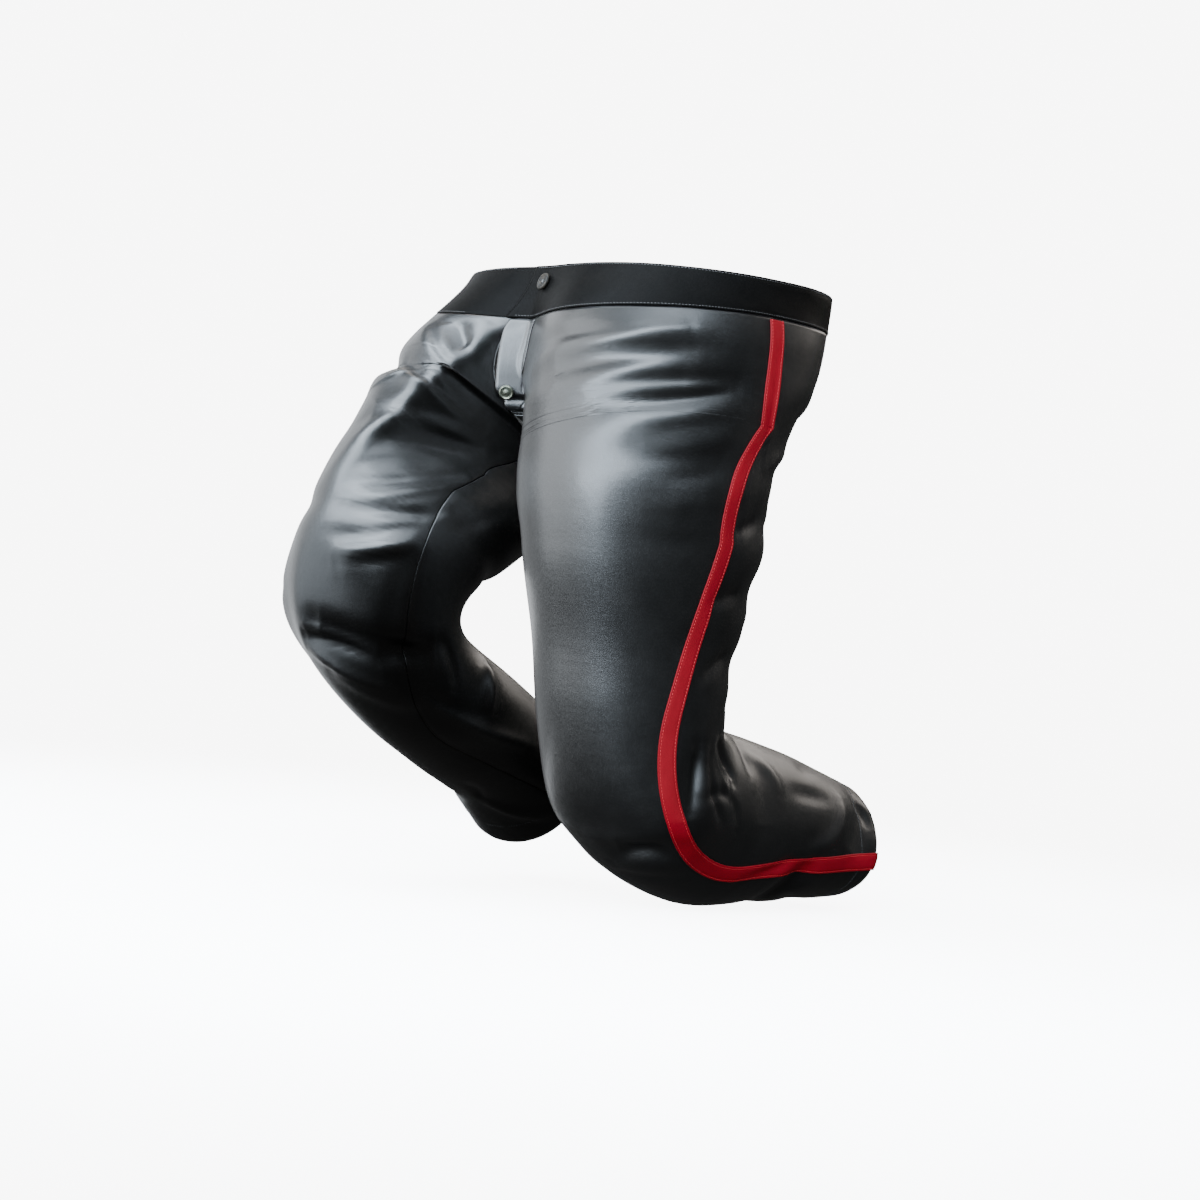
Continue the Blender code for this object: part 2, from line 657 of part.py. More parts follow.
def wall_mesh(name, outer, inner, flip, turned_from=NO_COLUMN):
    """A closed wall between two grids of points: both faces and the four cut edges."""
    rows, columns = outer.shape[:2]
    count = rows * columns
    skin = grid_faces(rows, columns, flip, turned_from)
    faces = skin + [tuple(count + k for k in face[::-1]) for face in skin]
    rim = list(range(columns))
    rim += [i * columns + columns - 1 for i in range(1, rows)]
    rim += [(rows - 1) * columns + j for j in range(columns - 2, -1, -1)]
    rim += [i * columns for i in range(rows - 2, 0, -1)]
    for a, b in zip(rim, rim[1:] + rim[:1]):
        pair = [(a, b, b + count), (a, b + count, a + count)]
        faces += [face[::-1] for face in pair] if flip else pair
    mesh = bpy.data.meshes.new(name)
    points = np.concatenate((outer.reshape(-1, 3), inner.reshape(-1, 3)))
    mesh.from_pydata([tuple(point) for point in points], [], faces)
    return mesh


# ---------------------------------------------------------------- the pieces


def panel_piece(figure, panel, side, facing):
    """A front or a back. Its hem is turned up, so the wall is twice as thick there."""
    thickness = np.full((len(panel.points), 1, 1), LEATHER)
    thickness[-1 - HEM_ROWS:] = 2 * LEATHER
    inner = figure.keep_apart(panel.points - thickness * panel.normals, side)
    return wall_mesh(panel.name, panel.points, inner, flip=side * facing < 0)


def applied_piece(name, points, normals, thickness, flip, turned_from=NO_COLUMN):
    """Leather sewn onto a panel: made from the panel's own points, moved out. Its top edge
    stops short of the band."""
    points = points.copy()
    points[0] += BELOW_BAND * (points[1] - points[0])
    inner = points + REST_GAP * normals
    outer = inner + thickness * normals
    return wall_mesh(name, outer, inner, flip, turned_from)


def fly_piece(front):
    rows, columns = slice(0, FLY_END_ROW + 1), slice(0, FLY_COLUMNS + 1)
    return applied_piece(
        "fly", front.points[rows, columns], front.normals[rows, columns], FLY_THICKNESS, flip=False
    )


def stripe_piece(front, back, leg):
    """The stripe covers the outseam, half on the front and half on the back."""
    seam = (front.points[:, -1] + back.points[:, -1]) / 2
    points = np.stack((front.points[:, -2], seam, back.points[:, -2]), axis=1)
    normals = np.stack((front.normals[:, -2], front.normals[:, -1], back.normals[:, -2]), axis=1)
    return applied_piece(
        f"stripe_{leg.name}", points, normals, STRIPE_THICKNESS, flip=leg.side < 0, turned_from=1
    )


def band_grid(figure):
    """Points and normals on the outside of the band. Its first end lies under the wearer's
    left front, and it runs by the right side and the back to its lapped end."""
    around = np.linspace(BAND_UNDER_ANGLE, BAND_LAP_ANGLE - 360, BAND_COLUMNS + 1)
    turn = np.radians(around)[None, :, None]
    rays = np.cos(turn) * figure.front + np.sin(turn) * figure.left
    level = np.zeros((1, len(around), 3))
    edge = band_edge(figure, find_surface(figure.torso_depth, level, rays))
    share = np.linspace(0, 1, BAND_ROWS + 1)[:, None]
    centres = (share * edge)[..., None] * figure.down
    points = find_surface(figure.torso_depth, centres, np.repeat(rays, BAND_ROWS + 1, axis=0))
    normals = np.cross(np.gradient(points, axis=1), np.gradient(points, axis=0))
    normals = unit(normals - (normals @ figure.down)[..., None] * figure.down)
    tucked = 1 - ease((BAND_LAP_ANGLE - around) / BAND_TUCK_OVER)
    tuck = tucked * (BAND_THICKNESS + REST_GAP)
    return points + (BAND_PROUD - tuck)[None, :, None] * normals, normals


def button_mesh(name, radius, height):
    """A round button with a rounded rim, its back on the plane z = 0."""
    shape = bmesh.new()
    bmesh.ops.create_cone(
        shape, cap_ends=True, segments=BUTTON_SIDES, radius1=radius, radius2=radius, depth=height
    )
    bmesh.ops.translate(shape, verts=shape.verts, vec=(0, 0, height / 2))
    mesh = bpy.data.meshes.new(name)
    shape.to_mesh(mesh)
    shape.free()
    return mesh


def spread(surface, parts=6):
    """Points spread evenly over the cells of a grid of points."""
    for axis in (0, 1):
        last = surface.shape[axis] - 1
        place = np.linspace(0, last, last * parts + 1)
        below = np.minimum(place.astype(int), last - 1)
        share = (place - below).reshape((-1, 1, 1) if axis == 0 else (1, -1, 1))
        near, far = np.take(surface, below, axis), np.take(surface, below + 1, axis)
        surface = near * (1 - share) + far * share
    return surface.reshape(-1, 3)


def seated(surface, row, column, outward, radius):
    """Matrix that puts a round piece flat on a grid of points, clear of its highest point."""
    place = surface[row, column]
    around = surface[row, column + 1] - surface[row, column - 1]
    normal = unit(np.cross(around, surface[row + 1, column] - surface[row - 1, column]))
    normal = normal * np.sign(normal @ outward)
    from_place = spread(surface) - place
    height = from_place @ normal
    under = np.linalg.norm(from_place - height[:, None] * normal, axis=1) < radius
    lift = height[under].max() + REST_GAP
    across = unit(np.cross(UP, normal))
    matrix = np.eye(4)
    matrix[:3, :3] = np.stack((across, np.cross(normal, across), normal), axis=1)
    matrix[:3, 3] = place + lift * normal
    return Matrix(matrix.tolist())


# ---------------------------------------------------------------- materials and objects

Finish = namedtuple("Finish", "color roughness metallic")
FINISHES = {
    "black leather": Finish((0.012, 0.012, 0.014, 1), 0.32, 0.0),
    "red leather": Finish((0.35, 0.008, 0.015, 1), 0.40, 0.0),
    "dark horn": Finish((0.020, 0.018, 0.018, 1), 0.30, 0.0),
    "old brass": Finish((0.20, 0.21, 0.17, 1), 0.38, 1.0),
}


def material(name):
    finish = FINISHES[name]
    made = bpy.data.materials.new(name)
    made.use_nodes = True
    shader = made.node_tree.nodes["Principled BSDF"]
    shader.inputs["Base Color"].default_value = finish.color
    shader.inputs["Roughness"].default_value = finish.roughness
    shader.inputs["Metallic"].default_value = finish.metallic
    return made


def add(collection, mesh, finish):
    """Put a mesh in the collection as a smooth-shaded object of its own."""
    made = bpy.data.objects.new(mesh.name, mesh)
    collection.objects.link(made)
    mesh.materials.append(finish)
    mesh.shade_smooth()
    mesh.set_sharp_from_angle(angle=np.radians(SHARP_ANGLE))
    return made


def build():
    figure = Figure()
    leather, red = material("black leather"), material("red leather")
    trousers = bpy.data.collections.new("leather trousers")
    bpy.context.scene.collection.children.link(trousers)
    fronts = {}
    for leg in figure.legs.values():
        skin = leg_skin(figure, leg, ZONE_ROWS, FOLDS)
        front, back = cut_panel(figure, skin, "front"), cut_panel(figure, skin, "back")
        add(trousers, panel_piece(figure, front, leg.side, 1), leather)
        add(trousers, panel_piece(figure, back, leg.side, -1), leather)
        add(trousers, stripe_piece(front, back, leg), red)
        fronts[leg.name] = front
    add(trousers, fly_piece(fronts["left"]), leather)

    points, normals = band_grid(figure)
    add(trousers, wall_mesh("waistband", points, points - BAND_THICKNESS * normals, flip=True), leather)

    row, column = BAND_ROWS // 2, BAND_COLUMNS - BUTTON_FROM_LAP
    button = add(trousers, button_mesh("waist_button", BUTTON_RADIUS, BUTTON_HEIGHT), material("dark horn"))
    lapped = slice(BAND_COLUMNS // 2, None)
    button.matrix_world = seated(
        points[:, lapped], row, column - BAND_COLUMNS // 2, normals[row, column], BUTTON_RADIUS
    )

    front = fronts["left"]
    normals = front.normals[:FLY_END_ROW + 1, :FLY_COLUMNS + 1]
    surface = front.points[:FLY_END_ROW + 1, :FLY_COLUMNS + 1] + (REST_GAP + FLY_THICKNESS) * normals
    stud = add(trousers, button_mesh("fly_stud", STUD_RADIUS, STUD_HEIGHT), material("old brass"))
    stud.matrix_world = seated(surface, STUD_ROW, 1, normals[STUD_ROW, 1], STUD_RADIUS)


def main():
    for old in list(bpy.data.objects):
        bpy.data.objects.remove(old, do_unlink=True)
    build()


if __name__ == "__main__":
    main()
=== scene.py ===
"""Leather trousers with a red stripe down each outseam, worn and empty.

Metres, +Z up. The wearer faces -Y, and the wearer's left side is +X. The leather takes its
form from a figure of smooth tapering limbs. Rings of points are laid across that form from the
waist to each hem, folds are pressed into them, and the rings are cut at the seams into the
pieces that a maker cuts. Each piece becomes a thin wall with rolled edges, and is then sewn.
"""

import json
import logging
from collections.abc import Callable, Sequence
from dataclasses import dataclass, field
from enum import Enum

import bmesh
import bpy
import numpy as np
from mathutils import Matrix, Vector

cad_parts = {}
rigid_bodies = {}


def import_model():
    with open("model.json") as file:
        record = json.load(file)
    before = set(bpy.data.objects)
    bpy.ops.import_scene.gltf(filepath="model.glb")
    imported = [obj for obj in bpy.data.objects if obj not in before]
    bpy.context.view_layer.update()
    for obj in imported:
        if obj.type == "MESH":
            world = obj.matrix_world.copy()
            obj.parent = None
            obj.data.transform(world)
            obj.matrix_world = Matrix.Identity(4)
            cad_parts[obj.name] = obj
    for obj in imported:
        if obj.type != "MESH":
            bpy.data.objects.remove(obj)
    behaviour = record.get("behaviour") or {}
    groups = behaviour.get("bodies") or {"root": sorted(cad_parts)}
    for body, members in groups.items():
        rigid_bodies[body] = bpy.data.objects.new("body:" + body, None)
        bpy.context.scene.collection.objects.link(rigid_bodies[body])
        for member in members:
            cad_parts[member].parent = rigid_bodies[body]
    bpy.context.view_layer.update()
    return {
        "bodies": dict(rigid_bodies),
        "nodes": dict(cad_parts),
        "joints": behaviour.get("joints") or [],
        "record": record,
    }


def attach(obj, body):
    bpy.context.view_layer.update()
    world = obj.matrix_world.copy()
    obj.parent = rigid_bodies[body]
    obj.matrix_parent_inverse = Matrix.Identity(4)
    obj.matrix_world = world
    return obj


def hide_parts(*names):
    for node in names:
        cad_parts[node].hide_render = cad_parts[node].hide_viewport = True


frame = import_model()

log = logging.getLogger("trousers")
BODY = "root"
UP = np.array((0.0, 0.0, 1.0))
TINY = 1e-12

# ---------------------------------------------------------------- named options


class Side(Enum):
    """The wearer's side that a leg is on."""

    LEFT = 1
    RIGHT = -1


class Part(Enum):
    """The half of a leg that a panel covers."""

    FRONT = 1
    BACK = -1


class Zone(Enum):
    """A stretch of rings down one leg."""

    PELVIS = 0
    HIP = 1
    THIGH = 2
    KNEE = 3
    SHIN = 4


# ---------------------------------------------------------------- small maths


def unit(vector: np.ndarray) -> np.ndarray:
    """Vectors of length one along the last axis."""
    vector = np.asarray(vector, float)
    return vector / np.linalg.norm(vector, axis=-1, keepdims=True)


def rotation(axis: Sequence[float], degrees: float) -> np.ndarray:
    """The 3 x 3 matrix that turns a vector round an axis."""
    x, y, z = unit(axis)
    cross = np.array(((0, -z, y), (z, 0, -x), (-y, x, 0)))
    angle = np.radians(degrees)
    return np.eye(3) + np.sin(angle) * cross + (1 - np.cos(angle)) * (cross @ cross)


def flattened(step: np.ndarray, normal: np.ndarray) -> np.ndarray:
    """The direction of a step with its part along the normal taken away."""
    step = unit(step)
    return unit(step - np.sum(step * normal, axis=-1, keepdims=True) * normal)


def ease(share: np.ndarray) -> np.ndarray:
    """A smooth step from 0 to 1."""
    share = np.clip(share, 0.0, 1.0)
    return share * share * (3 - 2 * share)


def bell(distance: np.ndarray, width: float) -> np.ndarray:
    """A smooth hump, 1 at a distance of 0."""
    return np.exp(-((distance / width) ** 2))


def rounded(distance: np.ndarray, radius: float, least: float = 0.0) -> np.ndarray:
    """Height of a rounded edge at a distance from its rim, 1 from the radius on."""
    return np.sqrt(np.clip(1 - np.clip(1 - distance / radius, 0, 1) ** 2, least, 1))


def blend(one: np.ndarray, other: np.ndarray, share: np.ndarray) -> np.ndarray:
    """A share of the way from one value to the other."""
    return one * (1 - share) + other * share


def lengths(points: np.ndarray) -> np.ndarray:
    """How far along each point of a row, or each row of a grid, lies."""
    steps = np.linalg.norm(np.diff(points, axis=0), axis=-1)
    return np.concatenate(((0.0,), np.cumsum(steps if steps.ndim == 1 else steps.mean(axis=1))))


def smooth_curve(
    values: np.ndarray, slopes: np.ndarray, i: np.ndarray, t: np.ndarray, step: float = 1.0
) -> np.ndarray:
    """A smooth curve through values, read a share `t` of the way from value `i` to the next."""
    return (
        (2 * t**3 - 3 * t**2 + 1) * values[i] + (t**3 - 2 * t**2 + t) * step * slopes[i]
        + (3 * t**2 - 2 * t**3) * values[i + 1] + (t**3 - t**2) * step * slopes[i + 1]
    )


def cubic(values: np.ndarray, places: np.ndarray) -> np.ndarray:
    """Rows of a grid read at fractional row places, along a smooth curve."""
    i = np.clip(places.astype(int), 0, len(values) - 2)
    t = (places - i).reshape((-1,) + (1,) * (values.ndim - 1))
    return smooth_curve(values, np.gradient(values, axis=0), i, t)


def refined_columns(grid: np.ndarray, places: np.ndarray) -> np.ndarray:
    """Columns of a grid of points read at fractional column places, along a smooth curve."""
    return cubic(grid.swapaxes(0, 1), places).swapaxes(0, 1)


@dataclass(frozen=True)
class Rumple:
    """Smooth noise on a sheet, the same each run."""

    seed: int
    across: float
    along: float
    lattice: int = 64

    def at(self, u: np.ndarray, v: np.ndarray) -> np.ndarray:
        """Noise from -1 to 1 at distances across and along the sheet, in metres."""
        size = self.lattice
        table = np.random.default_rng(self.seed).uniform(-1, 1, (size, size))
        u, v = u / self.across, v / self.along
        i, j = np.floor(u).astype(int), np.floor(v).astype(int)
        s, t = ease(u - i), ease(v - j)
        near, far = (
            blend(table[i % size, k % size], table[(i + 1) % size, k % size], s) for k in (j, j + 1)
        )
        return blend(near, far, t)


# ---------------------------------------------------------------- Blender's objects and meshes


def linked(name: str, data: bpy.types.ID) -> bpy.types.Object:
    """A new object in the scene."""
    made = bpy.data.objects.new(name, data)
    bpy.context.scene.collection.objects.link(made)
    return made


def apply_modifiers(piece: bpy.types.Object) -> bpy.types.Mesh:
    """Make a piece's modifiers part of its mesh."""
    shown = piece.evaluated_get(bpy.context.evaluated_depsgraph_get())
    mesh = bpy.data.meshes.new_from_object(shown)
    piece.modifiers.clear()
    piece.data = mesh
    return mesh


def mesh_from(name: str, shape: bmesh.types.BMesh) -> bpy.types.Mesh:
    """A mesh of a shape that is then let go."""
    mesh = bpy.data.meshes.new(name)
    shape.to_mesh(mesh)
    shape.free()
    return mesh


def loft(shape: bmesh.types.BMesh, rings: list[list[bmesh.types.BMVert]]) -> None:
    """Join each ring of points to the next. A ring of one point is a tip."""
    sides = max(len(ring) for ring in rings)
    for one, two in zip(rings, rings[1:]):
        for k in range(sides):
            corners = (one, k), (one, k + 1), (two, k + 1), (two, k)
            loop = dict.fromkeys(ring[i % len(ring)] for ring, i in corners)
            shape.faces.new(list(loop))
    for ring in (rings[0][::-1], rings[-1]):
        if len(ring) > 1:
            shape.faces.new(ring)
    bmesh.ops.recalc_face_normals(shape, faces=shape.faces)


# ---------------------------------------------------------------- the figure that fills the cloth

# A section is a place along a limb and its half widths to the side, the front and the back.
# A cap is where a limb's rounded end starts, and how far it bulges.
Sections = tuple[tuple[float, float, float, float], ...]
Cap = tuple[float, float]


@dataclass(frozen=True)
class LegShape:
    """The pose, the half widths and the seams of one leg.

    Angles are in degrees. The seam turns say how far the seams turn round the leg, outseam
    forward, at the waist, the crotch, the top of the thigh, above and below the knee and the hem.
    The sections' places are shares of the limb's length.
    """

    side: Side
    flex: float
    spread: float
    inward: float
    twist: float
    thigh: float
    knee: float
    shin: float
    fan_reach: float
    crotch_pitch: float
    row_tilt: float
    knee_bulge: float
    seam_turns: tuple[float, ...]
    thigh_sections: Sections
    shin_sections: Sections


LEFT_LEG = LegShape(
    side=Side.LEFT, flex=-1.0, spread=-1.0, inward=0.0, twist=-13.0, thigh=0.420, knee=82.0,
    shin=0.309, fan_reach=0.17, crotch_pitch=0.0, row_tilt=14.0, knee_bulge=0.022,
    seam_turns=(2, 2, 8, 24, 36, 4),
    thigh_sections=(
        (0.00, 0.100, 0.118, 0.112), (0.30, 0.112, 0.136, 0.109), (0.45, 0.107, 0.126, 0.102),
        (0.65, 0.093, 0.103, 0.088), (0.80, 0.088, 0.089, 0.075), (1.00, 0.080, 0.062, 0.058),
    ),
    shin_sections=(
        (0.00, 0.076, 0.060, 0.062), (0.30, 0.076, 0.081, 0.086),
        (0.60, 0.072, 0.070, 0.084), (1.00, 0.070, 0.050, 0.066),
    ),
)
RIGHT_LEG = LegShape(
    side=Side.RIGHT, flex=47.5, spread=0.0, inward=23.0, twist=-3.0, thigh=0.395, knee=112.0,
    shin=0.345, fan_reach=0.20, crotch_pitch=28.0, row_tilt=-4.0, knee_bulge=0.004,
    seam_turns=(0, 0, -8, -28, -56, -20),
    thigh_sections=(
        (0.00, 0.096, 0.098, 0.112), (0.30, 0.106, 0.114, 0.112), (0.60, 0.092, 0.102, 0.094),
        (0.80, 0.082, 0.088, 0.066), (0.92, 0.074, 0.064, 0.046), (1.00, 0.066, 0.036, 0.032),
    ),
    shin_sections=(
        (0.00, 0.066, 0.038, 0.034), (0.30, 0.066, 0.060, 0.048), (0.60, 0.066, 0.060, 0.058),
        (0.86, 0.067, 0.058, 0.058), (1.00, 0.070, 0.070, 0.058),
    ),
)


@dataclass
class Limb:
    """A tapering limb with an oval section and rounded ends.

    The rows of its frame are outward, forward and along.
    """

    origin: np.ndarray
    frame: np.ndarray
    sections: Sections
    scale: float
    first_cap: Cap | None
    last_cap: Cap | None
    squareness: float = 2.1

    def half_widths(self, share: np.ndarray) -> np.ndarray:
        """Half widths to the side, the front and the back at places in the sections' own unit."""
        table = np.array(self.sections)
        places, values = table[:, 0], table[:, 1:]
        at = np.clip(share, places[0], places[-1])
        i = np.clip(np.searchsorted(places, at) - 1, 0, len(places) - 2)
        step = (places[i + 1] - places[i])[..., None]
        t = (at - places[i])[..., None] / step
        return smooth_curve(values, np.gradient(values, places, axis=0), i, t, step)

    def depth(self, points: np.ndarray) -> np.ndarray:
        """Distance outside the limb, negative inside it, good near the surface."""
        outward, forward, along = np.moveaxis((points - self.origin) @ self.frame.T, -1, 0)
        side, front, back = np.moveaxis(self.half_widths(along / self.scale), -1, 0)
        deep = np.where(forward > 0, front, back)
        n = self.squareness
        total = np.abs(outward / side) ** n + np.abs(forward / deep) ** n
        for cap, way in ((self.first_cap, -1), (self.last_cap, 1)):
            if cap:
                total = total + (np.maximum(way * (along - cap[0]), 0) / cap[1]) ** n
        return (total ** (1 / n) - 1) * np.minimum(side, deep)


@dataclass
class Leg:
    """One leg of the figure: its shape, its joints and its two limbs."""

    shape: LegShape
    hip: np.ndarray
    knee: np.ndarray
    thigh: Limb
    shin: Limb

    @property
    def side(self) -> int:
        """1 on the wearer's left, -1 on the right."""
        return self.shape.side.value


@dataclass
class Figure:
    """A pelvis and two legs, in the pose that the leather keeps."""

    hip_half: float = 0.100
    hip_below_waist: float = 0.072
    hip_forward: float = 0.050
    blend: float = 0.020
    meet_blend: float = 0.006
    parting_turn: float = 16.0
    parting_top: float = 0.175
    parting_turn_over: float = 0.08
    parting_gap: float = 0.0016
    thighs_apart: float = 0.010
    legs_part_over: float = 0.12
    seam_gap: float = 0.0003
    crotch_forward: tuple[float, float] = (-0.04, 0.11)
    crotch_depth: tuple[float, float] = (0.05, 0.30)
    pelvis_cap: Cap = (0.090, 0.075)
    hip_cap: Cap = (0.0, 0.075)
    pelvis_squareness: float = 2.3
    pelvis_sections: Sections = (
        (-0.05, 0.182, 0.126, 0.143), (0.00, 0.184, 0.131, 0.143), (0.06, 0.186, 0.141, 0.132),
        (0.12, 0.180, 0.143, 0.114), (0.17, 0.165, 0.128, 0.100),
    )

    def __post_init__(self) -> None:
        """Set up the limbs."""
        self.frame = np.diag((1.0, -1.0, -1.0))
        self.left, self.front, self.down = self.frame
        self.pelvis = Limb(
            np.zeros(3), self.frame, self.pelvis_sections, 1.0, None, self.pelvis_cap,
            self.pelvis_squareness,
        )
        self.legs = {shape.side: self.leg(shape) for shape in (LEFT_LEG, RIGHT_LEG)}

    def leg(self, shape: LegShape) -> Leg:
        """Place one leg's joints and limbs."""
        side = shape.side.value
        hip = side * self.hip_half * self.left
        hip = hip + self.hip_forward * self.front + self.hip_below_waist * self.down
        straight = np.array(((side, 0, 0), (0, -1, 0), (0, 0, -1.0)))
        swing = rotation(UP, -side * shape.inward) @ rotation((0, 1, 0), -side * shape.spread)
        thigh_frame = straight @ (swing @ rotation((1, 0, 0), -shape.flex)).T
        thigh_frame = thigh_frame @ rotation(thigh_frame[2], side * shape.twist).T
        hinge = np.cross(thigh_frame[2], -thigh_frame[1])
        shin_frame = thigh_frame @ rotation(hinge, shape.knee).T
        knee = hip + shape.thigh * thigh_frame[2]
        ends = (shape.thigh, shape.knee_bulge), (0.0, shape.knee_bulge)
        thigh = Limb(hip, thigh_frame, shape.thigh_sections, shape.thigh, self.hip_cap, ends[0])
        shin = Limb(knee, shin_frame, shape.shin_sections, shape.shin, ends[1], None)
        return Leg(shape, hip, knee, thigh, shin)

    def union(self, *depths: np.ndarray) -> np.ndarray:
        """Union of forms with rounded inner corners."""
        stack = np.stack(depths)
        nearest = stack.min(axis=0)
        return nearest - self.blend * np.log(np.exp((nearest - stack) / self.blend).sum(axis=0))

    def meet(self, one: np.ndarray, other: np.ndarray) -> np.ndarray:
        """Intersection of two forms with a rounded edge."""
        deeper, soft = np.maximum(one, other), self.meet_blend
        both = np.exp((one - deeper) / soft) + np.exp((other - deeper) / soft)
        return deeper + soft * np.log(both)

    def parting(self, points: np.ndarray) -> np.ndarray:
        """Distance from the face where the thighs touch, positive toward the left leg."""
        below = ease((points @ self.down - self.parting_top) / self.parting_turn_over)
        turned = np.radians(self.parting_turn) * below
        return (points @ self.left) * np.cos(turned) - (points @ self.front) * np.sin(turned)

    def hip_depth(self, points: np.ndarray, leg: Leg) -> np.ndarray:
        """The pelvis with one thigh, kept to its own side of the face where the thighs touch."""
        own_side = self.thighs_apart / 2 - leg.side * self.parting(points)
        return self.union(self.pelvis.depth(points), self.meet(leg.thigh.depth(points), own_side))

    def torso_depth(self, points: np.ndarray) -> np.ndarray:
        """The pelvis with both thighs."""
        return np.minimum(*(self.hip_depth(points, leg) for leg in self.legs.values()))

    def leg_depth(self, points: np.ndarray, leg: Leg, apart: np.ndarray) -> np.ndarray:
        """The cloth of one leg.

        Args:
            points: Where to measure.
            leg: The leg.
            apart: 0 down to the crotch, growing to 1 as the other leg leaves it.

        Returns:
            Distance outside the cloth, negative inside it.
        """
        other = self.legs[Side(-leg.side)]
        own = self.union(self.hip_depth(points, leg), leg.shin.depth(points))
        whole = np.minimum(own, self.hip_depth(points, other) + self.legs_part_over * apart)
        parted = self.meet(whole, self.parting_gap / 2 - leg.side * self.parting(points))
        return np.where(apart > 0, parted, whole)

    def keep_apart(self, points: np.ndarray, side: int) -> np.ndarray:
        """Move points that come too close to the other leg's cloth back to their own side."""
        short = np.maximum(self.seam_gap / 2 - side * self.parting(points), 0)
        return points + side * short[..., None] * self.left

    def crotch_frame(self, leg: Leg, share: float = 1.0) -> tuple[np.ndarray, np.ndarray]:
        """Forward and down of the pelvis, pitched as the crotch ring of a leg is."""
        pitch = np.radians(leg.shape.crotch_pitch) * share
        forward = np.cos(pitch) * self.front - np.sin(pitch) * self.down
        return forward, np.cos(pitch) * self.down + np.sin(pitch) * self.front

    def crotch_point(self, leg: Leg) -> np.ndarray:
        """Where a leg's crotch ring touches the form on the plane between the legs."""
        forward = np.linspace(*self.crotch_forward, 61)[:, None] * self.front
        depth = np.linspace(*self.crotch_depth, 501)
        points = forward[:, None] + depth[None, :, None] * self.down
        lowest = depth[np.argmax(self.torso_depth(points) > 0, axis=1)]
        touching = forward + lowest[:, None] * self.down
        return touching[np.argmax(touching @ self.crotch_frame(leg)[1])]


# ---------------------------------------------------------------- rings from the waist to the hem


@dataclass
class Station:
    """One ring's plane: its place in zones, and how far the legs have parted there."""

    zone: Zone
    share: float
    centre: np.ndarray
    frame: np.ndarray
    apart: float


